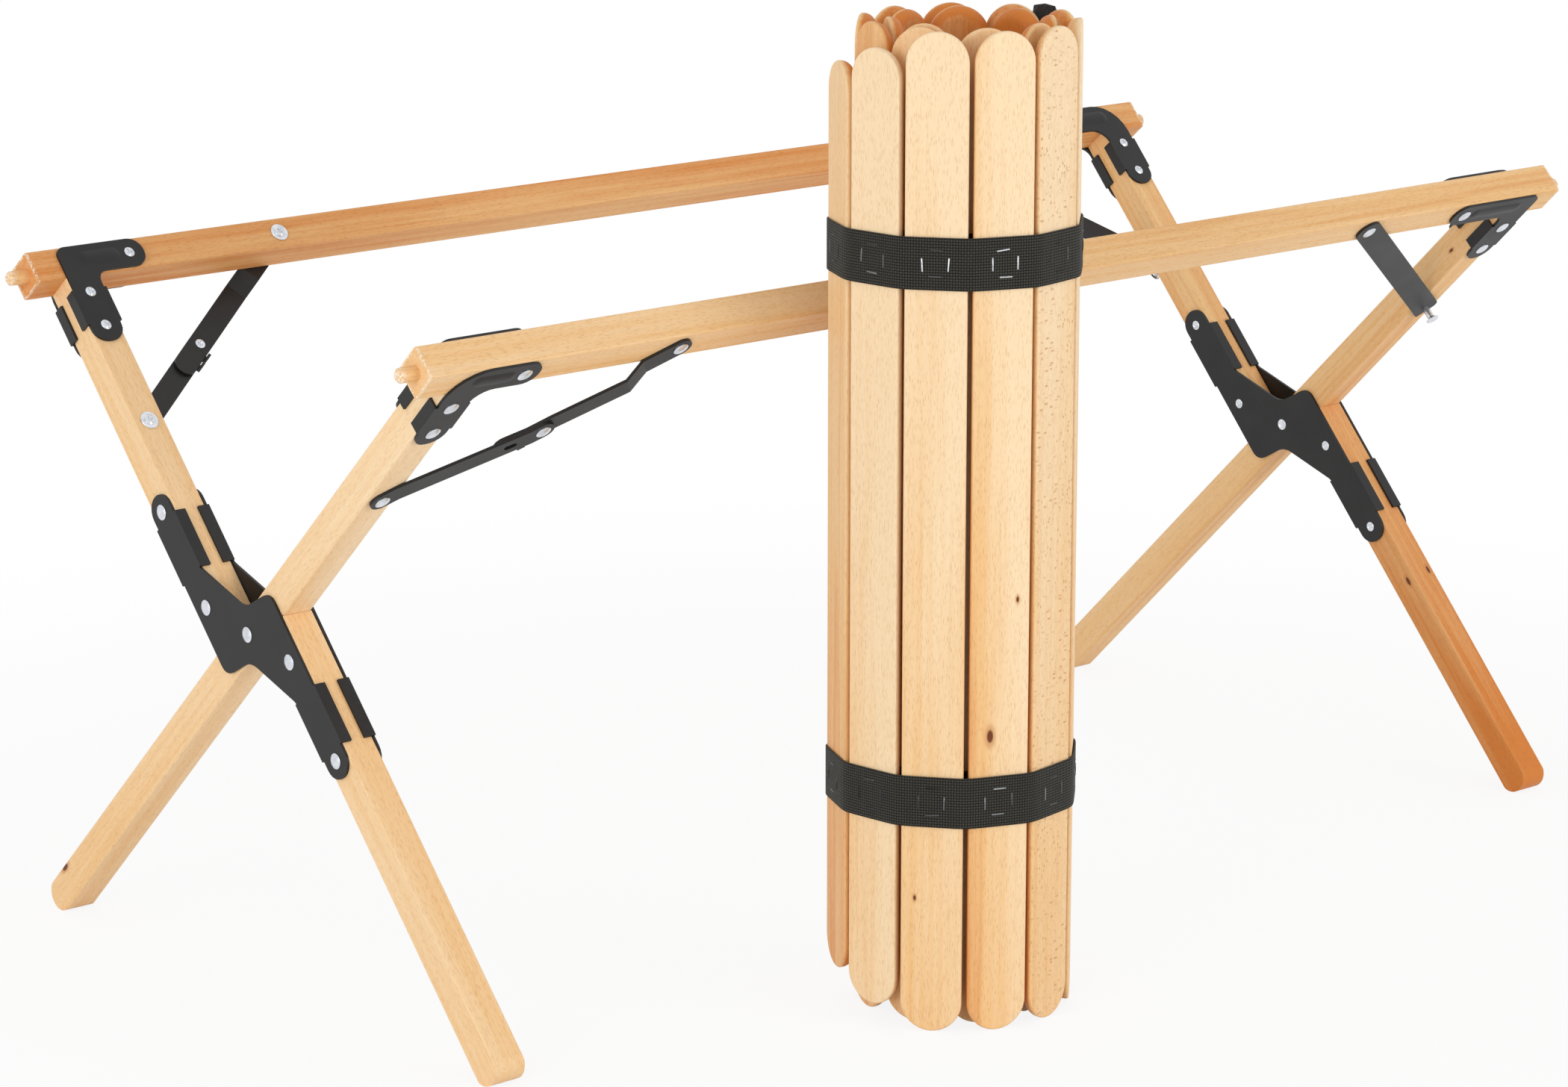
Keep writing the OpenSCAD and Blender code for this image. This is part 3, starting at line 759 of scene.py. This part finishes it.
def slat_grid(place, timber):
    """Points of a slat and their place in its own wood.

    The slat's face is a long oval, a straight middle line swept round at a distance. Going down through the
    thickness, that distance is the half width less an inset, which runs from the strap face's middle
    line, round the outer edge, down the side, round the inner edge and back to the middle line.
    """
    reach = place["width"] / 2
    depth = place["depth"]
    straight = place["height"] / 2 - reach
    quarter = np.linspace(0.0, math.pi / 2, EDGE_STEPS)
    outer, inner = timber.outer_edge, timber.inner_edge
    inset = np.concatenate([
        [reach, 0.5 * reach, outer + FACE_RIM], outer * (1 - np.sin(quarter)), [0.0],
        inner * (1 - np.cos(quarter)), [inner + FACE_RIM, 0.5 * reach, reach]])
    down = np.concatenate([
        [0.0, 0.0, 0.0], outer * (1 - np.cos(quarter)), [(depth + outer - inner) / 2],
        depth - inner + inner * np.sin(quarter), [depth, depth, depth]])
    end = np.linspace(-math.pi / 2, math.pi / 2, END_STEPS)
    side = np.linspace(1.0, -1.0, SIDE_STEPS)[1:-1]
    flat = np.full_like(side, math.pi / 2)
    turn = closed(np.concatenate([end, flat, end + math.pi, flat + math.pi]))
    height = closed(np.concatenate([np.ones_like(end), side, -np.ones_like(end), -side]) * straight)
    ring = (reach - inset)[:, None]
    across = ring * np.sin(turn)
    local = np.stack([
        across, np.broadcast_to(down[:, None], across.shape), height + ring * np.cos(turn)], axis=-1)
    plan = place["face"] + local[..., :1] * place["along"] - local[..., 1:2] * place["out"]
    return raised(plan, local[..., 2] + place["middle"]), local


def slat_wood(local, here, middle):
    """Point data of a slat: its grain place, its place from its knots, its tone and its share of ray marks.

    The tone is deeper on the sides and back, as painted shade, and on the front slats towards the floor.
    """
    # Slats past the root take a deeper tone as painted shade inside the coil
    varied = (OUTER_TONE if here <= ROOT else INNER_SHADE_TONE) + TONE_SPREAD * ((here * GOLDEN) % 1.0)
    vectors = {"grain": local + SLAT_SHIFT * here}
    knots = [*SLAT_KNOTS.get(here, []), FAR_KNOT, FAR_KNOT]
    for number, (across, above, radius) in enumerate(knots[:MOST_KNOTS]):
        vectors[f"knot_{number + 1}"] = (local - np.array([across, 0.0, above - middle])) / radius
    # Painted shade: a deeper tone down the sides and on the inner face
    deep = local[..., 1] / local[..., 1].max()
    deeper = np.interp(deep, [0.15, 0.5, 0.9, 1.0], [0.0, SIDE_SHADE, SIDE_SHADE, INNER_FACE_SHADE])
    tones = FRONT_TONES.get(here, varied) + deeper
    if here in FRONT_TONES:
        tones -= TONE_FALL * local[..., 2]
        tones -= TONE_ACROSS.get(here, 0.0) * local[..., 0] / local[..., 0].max()
    rays = np.full(tones.shape, 1.0 if here == RAY_SLAT else 0.0)
    return vectors, {"tone": tones, "ray": rays}


def slat_knot(tree):
    """Nearness of a slat's nearest knot, each longer along the grain than across it."""
    spans = [
        scaled(tree, point_data(tree, f"knot_{number + 1}", "Vector"), (1.0, 0.15, 0.5))
        for number in range(MOST_KNOTS)]
    return largest(tree, [ramp(tree, vector_length(tree, span), 2.2, 0.3) for span in spans])


def build_slats(settings):
    """One rounded slat in place of each packed slat."""
    finish = beech_finish(
        "slat_beech", settings.timber, lambda tree: point_data(tree, "grain", "Vector"),
        lambda tree: point_data(tree, "tone", "Fac"), slat_knot, ray_marks)
    for here, (name, place) in enumerate(zip(SLAT_NAMES, slat_places())):
        points, local = slat_grid(place, settings.timber)
        vectors, values = slat_wood(local, here, place["middle"])
        piece = piece_from_grids(f"{name}_board", [points], vectors=vectors, values=values)
        dress(piece, finish)
        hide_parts(name)
        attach(piece, name)


# Straps


def soft_path(corners, softness, steps):
    """Points, directions and run of a path along corners, each bend eased.

    The path leaves the first corner along its first edge; at each further corner the change of direction
    comes in through softness times log(1 + exp(s / softness)), s being the run past that corner.
    """
    edges = np.diff(corners, axis=0)
    spans = np.linalg.norm(edges, axis=1)
    ways = edges / spans[:, None]
    bends = np.cumsum(spans)[:-1]
    run = np.linspace(0.0, spans.sum(), steps)
    eased = softness * np.logaddexp(0.0, (run[:, None] - bends) / softness)
    share = 1.0 / (1.0 + np.exp(np.clip((bends - run[:, None]) / softness, -60.0, 60.0)))
    change = np.diff(ways, axis=0)
    points = corners[0] + run[:, None] * ways[0] + eased @ change
    facing = ways[0] + share @ change
    return points, facing / np.linalg.norm(facing, axis=1)[:, None], run


def strap_section(width, thickness):
    """Closed outline across the webbing, an oblong with round selvedges: heights and offsets."""
    half = thickness / 2
    straight = (width - thickness) / 2
    round_end = np.linspace(-math.pi / 2, math.pi / 2, 7)
    flat = np.linspace(-1.0, 1.0, 9)[1:-1] * straight
    selvedge = straight + half * np.cos(round_end)
    face = np.full_like(flat, half)
    bulge = half * np.sin(round_end)
    high = np.concatenate([flat, selvedge, -flat, -selvedge])
    off = np.concatenate([-face, bulge, face, -bulge])
    return closed(high), closed(off)


def strip_piece(name, corners, span, webbing, start, steps, outward):
    """A strip of webbing standing on edge along a plan path, closed at both ends, with weave coordinates.

    span is the strip's height and width and start the run at its first corner. outward is 1 where the
    strip's face lies to the right of its path and -1 where it lies to the left. The first and last rows
    come twice, once drawn in to the path.
    """
    points, facing, run = soft_path(corners, webbing.bend, steps)
    right = outward * np.stack([facing[:, 1], -facing[:, 0]], axis=1)
    high, off = strap_section(span[1], webbing.thickness)
    rows = [0, *range(steps), steps - 1]
    drawn = np.ones((steps + 2, 1))
    drawn[[0, -1]] = 0.0
    plan = points[rows][:, None, :] + (drawn * off)[..., None] * right[rows][:, None, :]
    around = np.cumsum(np.append(0.0, np.hypot(np.diff(high), np.diff(off))))
    weave = np.stack(np.broadcast_arrays((run[rows] + start)[:, None], around[None, :]), axis=-1)
    return piece_from_grids(name, [raised(plan, span[0] + high)], uvs=[weave])


def strap_span(node):
    """Height and width of a packed strap."""
    low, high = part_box(node)
    return (low[2] + high[2]) / 2, high[2] - low[2]


def build_straps(settings):
    """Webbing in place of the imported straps: a strip over each hinge, the inner end and the lapped end."""
    webbing = settings.webbing
    finish = webbing_finish(webbing)
    places = slat_places()
    hinges = hinge_points()
    rise = webbing.lift + webbing.thickness / 2
    lap = rise + webbing.thickness + 2 * webbing.lift
    faces = np.array([place["face"] for place in places])
    outs = np.array([place["out"] for place in places])
    mids = faces + rise * outs
    halves = np.array([place["along"] * (place["width"] / 2 + HALF_GAP) for place in places])
    winding = np.sign(np.linalg.det([halves[1], outs[1]]))
    inner = mids[-1] + np.outer((0.0, 0.5, 0.9), halves[-1])
    over_faces = faces[ROOT:ROOT + 2] + lap * outs[ROOT:ROOT + 2]
    over_hinge = hinges[ROOT] + lap * outs[ROOT:ROOT + 2].mean(axis=0)
    free = np.array([mids[0], mids[0] - halves[0], over_faces[1], over_hinge, over_faces[0]])
    for node, label in (("upper_strap", "upper"), ("lower_strap", "lower")):
        span = strap_span(node)
        run = 0.0
        pieces = []
        for here, hinge in enumerate(hinges):
            between = outs[here] + outs[here + 1]
            corner = hinge + rise * between * 2 / (between @ between)
            corners = np.array([mids[here], corner, mids[here + 1]])
            piece = strip_piece(
                f"{label}_webbing_{here + 1:02d}", corners, span, webbing, run, HINGE_STEPS, -winding)
            run += np.linalg.norm(np.diff(corners, axis=0), axis=1).sum()
            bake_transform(piece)
            pieces.append(piece)
        end = strip_piece(f"{label}_webbing_end", inner, span, webbing, run, INNER_STEPS, -winding)
        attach(end, SLAT_NAMES[-1])
        flap = strip_piece(f"{label}_webbing_flap", free, span, webbing, FLAP_RUN, FLAP_STEPS, winding)
        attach(flap, SLAT_NAMES[0])
        for piece in [*pieces, end, flap]:
            dress(piece, finish)
        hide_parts(node)


def staple_grid(middle, way, out, crown, wire):
    """One staple: a flat wire along its crown whose ends turn down into the webbing.

    Over the crown's run s, from -1 to 1, the wire drops by 1.6 of its widths times |s| to the power 14.
    """
    s = np.array([-1.0, -0.97, -0.85, 0.0, 0.85, 0.97, 1.0])
    drop = -1.6 * wire * np.abs(s) ** 14
    side = np.cross(out, way)
    angle = np.linspace(0.0, 2 * math.pi, 7)
    path = middle + np.outer(s * crown / 2, way) + np.outer(drop, out)
    section = np.outer(np.cos(angle) * wire / 2, side) + np.outer(np.sin(angle) * wire * 0.4, out)
    return path[:, None, :] + section[None, :, :]


def build_staples(settings):
    """Four staples in a square where each strap crosses each slat, one piece a slat."""
    webbing = settings.webbing
    finish = staple_finish(settings.steel)
    chance = np.random.default_rng(7)
    upright = np.array([0.0, 0.0, 1.0])
    proud = webbing.lift + webbing.thickness + 0.1 * webbing.wire
    for here, (name, place) in enumerate(zip(SLAT_NAMES, slat_places())):
        face, out, along = (np.append(place[key], 0.0) for key in ("face", "out", "along"))
        face = face + proud * out
        grids, bright = [], []
        for node, known in STAPLE_GLINT.items():
            height = strap_span(node)[0]
            # Front slats' staples are bright as painted glints, the others at random as rubbed wire
            rub_and_glint = chance.random(4) ** 3
            if here < len(known):
                rub_and_glint = known[here]
            for step in range(4):
                turn = step * math.pi / 2 + chance.normal(0.0, 0.05)
                offset = math.cos(turn) * along + math.sin(turn) * upright
                way = -math.sin(turn) * along + math.cos(turn) * upright
                shift = chance.normal(0.0, 0.0006, 2)
                middle = face + height * upright + offset * webbing.square / 2
                middle = middle + shift[0] * along + shift[1] * upright
                grids.append(staple_grid(middle, way, out, webbing.crown, webbing.wire))
                bright.append(np.full(grids[-1].shape[:2], rub_and_glint[step]))
        piece = piece_from_grids(f"{name}_staples", grids, values={"bright": bright})
        dress(piece, finish)
        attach(piece, name)


def blunted(wave, power):
    """A wave from -1 to 1 with its size raised to a power."""
    return np.sign(wave) * np.abs(wave) ** power


def build_tab(settings):
    """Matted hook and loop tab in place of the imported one: an oblong section carried up it, roughened."""
    points = node_points("hook_loop_tab")
    place = slat_places()[TAB_SLAT]
    across = points[:, :2] @ place["along"]
    outside = points[:, :2] @ place["out"]
    low, high = points[:, 2].min(), points[:, 2].max()
    middle = place["along"] * (across.max() + across.min()) / 2
    middle = middle + place["out"] * (outside.max() + outside.min()) / 2
    rows = np.linspace(0.0, 1.0, TAB_ROWS)
    turn = np.linspace(0.0, 2 * math.pi, TAB_STEPS + 1)
    chance = np.random.default_rng(11)
    rough = 1.0 + chance.normal(0.0, 0.06, (TAB_ROWS, TAB_STEPS))
    rough = np.concatenate([rough, rough[:, :1]], axis=1)
    closing = np.sqrt(np.clip(1.0 - np.abs(2 * rows - 1.0) ** 60, 0.0, 1.0))[:, None]
    wide = np.ptp(across) / 2 * 0.9 * blunted(np.cos(turn), 0.25) * rough * closing
    deep = np.ptp(outside) / 2 * 0.75 * blunted(np.sin(turn), 0.5) * rough * closing
    plan = middle + wide[..., None] * place["along"] + deep[..., None] * place["out"]
    grid = raised(plan, (low + (high - low) * rows)[:, None])
    piece = piece_from_grids("loop_tab", [grid], sharp=180.0)
    dress(piece, pile_finish(settings.webbing))
    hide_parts("hook_loop_tab")
    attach(piece, SLAT_NAMES[TAB_SLAT])


# Fasteners


def dome_profile(radius, height):
    """Radius and rise of a low dome from its rim to its top: a short upright rim and a cap of a ball."""
    rim = 0.25 * height
    cap = height - rim
    ball = (radius ** 2 + cap ** 2) / (2 * cap)
    out = radius * np.sin(np.linspace(math.pi / 2, 0.0, DOME_ROWS))
    return np.append(radius, out), np.append(0.0, rim + np.sqrt(ball ** 2 - out ** 2) - (ball - cap))


def cross_dent(depth):
    """Function of radii and turns that gives the depth of a cross recess: two tapered arms, crossed."""

    def arm(run, aside):
        width = np.clip((RECESS_HALF + RECESS_SLOPE - aside) / RECESS_SLOPE, 0.0, 1.0)
        return width * np.clip((RECESS_REACH - run) / (2 * RECESS_SLOPE), 0.0, 1.0)

    def dent(out, turn):
        x = np.abs(out[:, None] * np.cos(turn + RECESS_TURN))
        y = np.abs(out[:, None] * np.sin(turn + RECESS_TURN))
        return depth * np.maximum(arm(x, y), arm(y, x))

    return dent


def cup_dent(reach, depth):
    """Function of radii and turns that gives the depth of a clinched end's hollow, the same all round."""
    return lambda out, turn: depth * np.clip((reach - out) / (0.3 * reach), 0.0, 1.0)[:, None]


def turned_grid(middle, axis, out, rise, segments, dent=None, dented=0):
    """Surface of revolution: each row of the profile at its rise along the axis, swept round.

    The first rows, dented of them, are pushed along the axis by a dent, a function of radii and turns.
    """
    turn = np.linspace(0.0, 2 * math.pi, segments + 1)
    seed = np.array([1.0, 0.0, 0.0]) if abs(axis[0]) < 0.7 else np.array([0.0, 0.0, 1.0])
    first = np.cross(axis, seed)
    first = first / np.linalg.norm(first)
    second = np.cross(axis, first)
    ring = np.outer(np.cos(turn), first) + np.outer(np.sin(turn), second)
    level = np.repeat(rise[:, None], len(turn), axis=1)
    if dent is not None:
        level[:dented] += dent(out[:dented], turn)
    return middle + out[:, None, None] * ring[None] + level[..., None] * axis


def rod_grid(middle, axis, shank, low_head, high_head, dent, segments):
    """A fastener along an axis as one closed surface: a head at each end of a shank, the low one dented.

    A head is (seat along the axis, radius, height).
    """
    low_out, low_rise = dome_profile(*low_head[1:])
    high_out, high_rise = dome_profile(*high_head[1:])
    out = np.concatenate([low_out[::-1], [shank, shank], high_out])
    rise = np.concatenate([
        low_head[0] - low_rise[::-1], [low_head[0], high_head[0]], high_head[0] + high_rise])
    return turned_grid(middle, axis, out, rise, segments, dent, len(low_out) - 1)


def washer_grid(middle, axis, segments):
    """Flat washer: an oblong section with bevelled outer edges, swept round the axis."""
    inner = SHANK_R * 0.9
    edge = 0.2 * WASHER_T
    flat = WASHER_R - edge
    out = np.array([inner, inner, flat, WASHER_R, WASHER_R, flat, inner])
    rise = np.array([0.0, WASHER_T, WASHER_T, WASHER_T - edge, edge, 0.0, 0.0])
    return turned_grid(middle, axis, out, rise, segments)


def bolt_at(back, side, along, down, stay_face, screw_face, steel):
    """Bolt through a corner's timber: a dome on the stay side, a cross recessed head on the other."""
    origin, axes = rail_corner(back, side)
    middle = origin + axes @ np.array([along, 0.0, -down])
    screw, dome = (-screw_face, SCREW_R, DOME_H), (stay_face, DOME_R, DOME_H)
    return rod_grid(middle, axes[:, 1], SHANK_R, screw, dome, cross_dent(steel.recess), steel.segments)


def bracket_bolts(back, steel):
    """Fold bolt and two leg bolts of both brackets of a rail."""
    grids = []
    for side in (-1, 1):
        for along, down in ((ARM[side], 0.0), (0.0, LEG_BOLTS[0]), (0.0, LEG_BOLTS[1])):
            grids.append(bolt_at(back, side, along, down, GRIP, GRIP, steel))
    return grids


def stud_grid(back, steel):
    """Stud through a right leg: a flared flat head on the stay side, a screw head on the other."""
    origin, axes = rail_corner(back, 1)
    middle = origin + axes @ np.array([0.0, 0.0, -STAY_LEG])
    low_out, low_rise = dome_profile(SCREW_R, DOME_H)
    foot = HALF + WASHER_T
    top = HALF + LINK_T + STUD_STAND
    edge = 0.3 * STUD_RIM
    flare = SHANK_R + (STUD_R - SHANK_R) * np.array([0.0, 0.0, 0.35, 1.0, 1.0, 1.0])
    out = np.concatenate([low_out[::-1], flare, [STUD_R - edge, 0.5 * STUD_R, 0.0]])
    high = top + np.array([0.0, 0.7 * STUD_FLARE, STUD_FLARE, STUD_FLARE + STUD_RIM - edge])
    lid = high[-1] + edge
    rise = np.concatenate([-foot - low_rise[::-1], [-foot], high, [high[-1], lid, lid, lid]])
    return turned_grid(
        middle, axes[:, 1], out, rise, steel.segments, cross_dent(steel.recess), len(low_out) - 1)


def stay_bolts(back, steel):
    """Rail bolt of both stays, leg bolt of the left one and stud of the right one, each with its washer."""
    grids = []
    for side in (-1, 1):
        origin, axes = rail_corner(back, side)
        grids.append(bolt_at(back, side, STAY_RAIL, 0.0, HALF + LINK_T, HALF + WASHER_T, steel))
        if side < 0:
            grids.append(bolt_at(back, side, 0.0, STAY_LEG, HALF + LINK_T, HALF + WASHER_T, steel))
        else:
            grids.append(stud_grid(back, steel))
        for along, down in ((STAY_RAIL, 0.0), (0.0, STAY_LEG)):
            seat = origin + axes @ np.array([along, -HALF - WASHER_T, -down])
            grids.append(washer_grid(seat, axes[:, 1], steel.segments))
    return grids


def stay_rivet(back, steel):
    """Knuckle rivet of a left stay, its dome outside and its cross recessed end inside."""
    origin, axes = rail_corner(back, -1)
    share = 1.0 - KNUCKLE_SHARE
    middle = origin + axes @ np.array([STAY_RAIL * share, HALF + LINK_RISE, -STAY_LEG * KNUCKLE_SHARE])
    clinch, dome = (0.0, SHANK_R + CLINCH_RIM, KNUCKLE_CLINCH_H), (2 * LINK_T, DOME_R, DOME_H)
    return [rod_grid(middle, axes[:, 1], SHANK_R, clinch, dome, cross_dent(steel.recess), steel.segments)]


def cross_rods(places, shank, steel):
    """Rivets or pins along X through the crossed legs: a dome outside and a clinched end inside."""
    axes = leaning(-SPLIT_TILT)
    clinch, dome = (-GRIP, shank + CLINCH_RIM, CLINCH_H), (GRIP, DOME_R, DOME_H)
    hollow = cup_dent(0.6 * clinch[1], 0.8 * clinch[2])
    grids = []
    for side in (-1, 1):
        for across, up in places:
            middle = PIVOT + axes @ np.array([0.0, across, up]) + np.array([side * LEG_X, 0.0, 0.0])
            axis = np.array([float(side), 0.0, 0.0])
            grids.append(rod_grid(middle, axis, shank, clinch, dome, hollow, steel.segments))
    return grids


def build_fasteners(settings):
    """Turned bolts, rivets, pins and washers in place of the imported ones."""
    steel = settings.steel
    finish = zinc_finish(steel)
    rivets = [(up * SPLIT_SET, up * run) for up in (-1, 1) for run in (NEAR_RIVET, END_RIVET)]
    sets = {
        "cross_rivets": (cross_rods(rivets, SHANK_R, steel), "back_frame"),
        "cross_pivot_pins": (cross_rods([(0.0, 0.0)], PIVOT_R, steel), "back_frame"),
    }
    kinds = {"bracket_bolts": bracket_bolts, "stay_rivet": stay_rivet, "stay_bolts": stay_bolts}
    for end in ("back", "front"):
        for kind, turn_set in kinds.items():
            sets[f"{end}_{kind}"] = (turn_set(end == "back", steel), f"{end}_frame")
    for node, (grids, body) in sets.items():
        piece = piece_from_grids(f"{node}_turned", grids, sharp=35.0)
        dress(piece, finish)
        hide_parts(node)
        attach(piece, body)


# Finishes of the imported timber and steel


def paint(node, finish):
    """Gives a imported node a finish."""
    for slot in frame["nodes"][node].material_slots:
        slot.material = finish


def timber_beech(node, timber, turn, tone, rate, shift, marks):
    """Beech of a packed timber, with its grain turned to Z and shifted to a stretch of wood of its own.

    The tone changes evenly with the place: its value at the frame's origin and its rate for each metre.
    """
    return beech_finish(
        f"{node}_beech", timber, lambda tree: turned(tree, object_place(tree), turn, shift),
        lambda tree: plus(tree, along_way(tree, object_place(tree), rate), tone),
        knots_at(LEG_KNOTS[node], turn) if node in LEG_KNOTS else None, marks)


def dress_timber(settings):
    """Beech along the grain of each rail, leg and peg, each with its own tone, rate of tone and wood."""
    rail, split, through = (0.0, -90.0, 0.0), (SPLIT_TILT, 0.0, 0.0), (-THROUGH_TILT, 0.0, 0.0)
    even, to_foot = (0.0, 0.0, 0.0), (0.0, 0.0, -1.2)
    timbers = {
        # The back rail's deep tone is partly its own and partly painted shade
        "front_rail": (rail, 0.85, (0.4, 0.0, 0.0)), "back_rail": (rail, 1.45, even),
        "front_rail_pegs": (rail, 0.9, even), "back_rail_pegs": (rail, 0.9, even),
        "left_upper_leg": (split, 0.45, even), "left_lower_leg": (split, 0.75, to_foot),
        # The right lower leg's deep tone, deeper towards its foot, is painted shade
        "right_upper_leg": (split, 1.05, even), "right_lower_leg": (split, 2.0, (0.0, 0.0, -2.4)),
        "left_through_leg": (through, 0.55, to_foot), "right_through_leg": (through, 0.85, even)}
    marks = {
        "front_rail": worn_rail(False), "back_rail": worn_rail(True),
        "front_rail_pegs": worn_peg, "back_rail_pegs": worn_peg}
    for count, (node, (turn, tone, rate)) in enumerate(timbers.items()):
        shift = tuple(TIMBER_SHIFT * count)
        paint(node, timber_beech(node, settings.timber, turn, tone, rate, shift, marks.get(node)))


def dress_steel(settings):
    """Powder coat on the brackets, cross plates and stay links."""
    finish = coated_finish(settings.steel)
    for node in frame["nodes"]:
        if node.endswith(("_bracket", "_cross_plate", "_link", "_stay")):
            paint(node, finish)


# Stage


def stand(name, data, place, target):
    """Puts a new lamp or camera in place, looking at a target."""
    thing = bpy.data.objects.new(name, data)
    bpy.context.scene.collection.objects.link(thing)
    way = np.array(target) - np.array(place)
    flat = math.hypot(way[0], way[1])
    thing.location = place
    thing.rotation_euler = (math.atan2(flat, -way[2]), 0.0, math.atan2(-way[0], way[1]))
    return thing


def add_lamp(name, power, size_m, place):
    """A square soft lamp aimed at the table."""
    lamp = bpy.data.lights.new(name, "AREA")
    lamp.energy = power
    lamp.size = size_m
    stand(name, lamp, place, LAMP_AIM)


def shown_white(tree):
    """1 for what the camera, a reflection or a clear piece sees, 0 for light on the object."""
    path = add(tree, "ShaderNodeLightPath", {})
    return largest(tree, [path.outputs[f"Is {kind} Ray"] for kind in ("Camera", "Glossy", "Transmission")])


def floor_finish():
    """Pale floor that is seen white but keeps a soft shadow near the table."""
    finish, tree, shader = new_finish("studio_floor")
    feed(tree, shader, {"Base Color": (0.9, 0.9, 0.9, 1.0), "Roughness": 0.9})
    white = add(tree, "ShaderNodeEmission", {"Color": WHITE, "Strength": 1.0})
    away = vector_length(tree, object_place(tree))
    share = times(tree, shown_white(tree), ramp(tree, away, 0.5, 1.2, 0.88, 1.0))
    mixed = add(tree, "ShaderNodeMixShader", {0: share, 1: shader.outputs[0], 2: white.outputs[0]})
    output = next(node for node in tree.nodes if node.bl_idname == "ShaderNodeOutputMaterial")
    feed(tree, output, {"Surface": mixed.outputs[0]})
    return finish


def build_stage(settings):
    """Floor, even sky, two soft lamps and the camera."""
    stage = settings.stage
    scene = bpy.context.scene
    reach = np.linspace(-FLOOR_REACH, FLOOR_REACH, 3)
    floor = piece_from_grids("floor", [raised(np.stack(np.meshgrid(reach, reach), axis=-1), 0.0)])
    floor.data.flip_normals()
    floor.data.materials.append(floor_finish())
    world = bpy.data.worlds.new("studio")
    world.use_nodes = True
    tree = world.node_tree
    strength = plus(tree, stage.sky, times(tree, shown_white(tree), 1.0 - stage.sky))
    feed(tree, tree.nodes["Background"], {"Color": WHITE, "Strength": strength})
    scene.world = world
    add_lamp("key_lamp", stage.key, KEY_SIZE, KEY_PLACE)
    add_lamp("fill_lamp", stage.fill, FILL_SIZE, FILL_PLACE)
    lens = bpy.data.cameras.new("camera")
    lens.lens = stage.lens
    lens.sensor_width = 36.0
    lens.clip_end = 100.0
    scene.camera = stand("camera", lens, tuple(stage.camera_at), tuple(stage.aim_at))
    scene.view_settings.view_transform = "Standard"


# Operators, panel and run


class CAMPTABLE_OT_stage(bpy.types.Operator):
    """Set the floor, light and camera"""

    bl_idname = "camptable.stage"
    bl_label = "Stage"

    def execute(self, context):
        build_stage(context.scene.camp_table)
        return {"FINISHED"}


class CAMPTABLE_OT_timber(bpy.types.Operator):
    """Finish the rails, legs and pegs in beech"""

    bl_idname = "camptable.timber"
    bl_label = "Rails and Legs"

    def execute(self, context):
        dress_timber(context.scene.camp_table)
        return {"FINISHED"}


class CAMPTABLE_OT_steel(bpy.types.Operator):
    """Powder coat the brackets, cross plates and stays"""

    bl_idname = "camptable.steel"
    bl_label = "Coated Steel"

    def execute(self, context):
        dress_steel(context.scene.camp_table)
        return {"FINISHED"}


class CAMPTABLE_OT_fasteners(bpy.types.Operator):
    """Turn the bolts, rivets, pins and washers"""

    bl_idname = "camptable.fasteners"
    bl_label = "Fasteners"

    def execute(self, context):
        build_fasteners(context.scene.camp_table)
        return {"FINISHED"}


class CAMPTABLE_OT_slats(bpy.types.Operator):
    """Shape the slats of the rolled top"""

    bl_idname = "camptable.slats"
    bl_label = "Slats"

    def execute(self, context):
        build_slats(context.scene.camp_table)
        return {"FINISHED"}


class CAMPTABLE_OT_straps(bpy.types.Operator):
    """Lay the two webbing straps over the slats"""

    bl_idname = "camptable.straps"
    bl_label = "Straps"

    def execute(self, context):
        build_straps(context.scene.camp_table)
        return {"FINISHED"}


class CAMPTABLE_OT_staples(bpy.types.Operator):
    """Staple the straps to the slats"""

    bl_idname = "camptable.staples"
    bl_label = "Staples"

    def execute(self, context):
        build_staples(context.scene.camp_table)
        return {"FINISHED"}


class CAMPTABLE_OT_tab(bpy.types.Operator):
    """Make the hook and loop tab"""

    bl_idname = "camptable.tab"
    bl_label = "Hook and Loop Tab"

    def execute(self, context):
        build_tab(context.scene.camp_table)
        return {"FINISHED"}


OPERATORS = (
    CAMPTABLE_OT_stage, CAMPTABLE_OT_timber, CAMPTABLE_OT_steel, CAMPTABLE_OT_fasteners,
    CAMPTABLE_OT_slats, CAMPTABLE_OT_straps, CAMPTABLE_OT_staples, CAMPTABLE_OT_tab)


class CAMPTABLE_PT_panel(bpy.types.Panel):
    """Lists the steps that build the camp table"""

    bl_idname = "CAMPTABLE_PT_panel"
    bl_label = "Camp Table"
    bl_space_type = "VIEW_3D"
    bl_region_type = "UI"
    bl_category = "Camp Table"

    def draw(self, context):
        for operator in OPERATORS:
            self.layout.operator(operator.bl_idname)


CLASSES = (
    TimberSettings, WebbingSettings, SteelSettings, StageSettings, CampTableSettings,
    *OPERATORS, CAMPTABLE_PT_panel)


def register():
    """Registers the classes and puts the settings on the scene."""
    for kind in CLASSES:
        bpy.utils.register_class(kind)
    bpy.types.Scene.camp_table = PointerProperty(type=CampTableSettings)


def unregister():
    """Takes the settings and the classes away again."""
    del bpy.types.Scene.camp_table
    for kind in reversed(CLASSES):
        bpy.utils.unregister_class(kind)


def main():
    """Builds the table step by step."""
    register()
    bpy.ops.camptable.stage()
    bpy.ops.camptable.timber()
    bpy.ops.camptable.steel()
    bpy.ops.camptable.fasteners()
    bpy.ops.camptable.slats()
    bpy.ops.camptable.straps()
    bpy.ops.camptable.staples()
    bpy.ops.camptable.tab()
    bpy.context.view_layer.update()


if __name__ == "__main__":
    main()
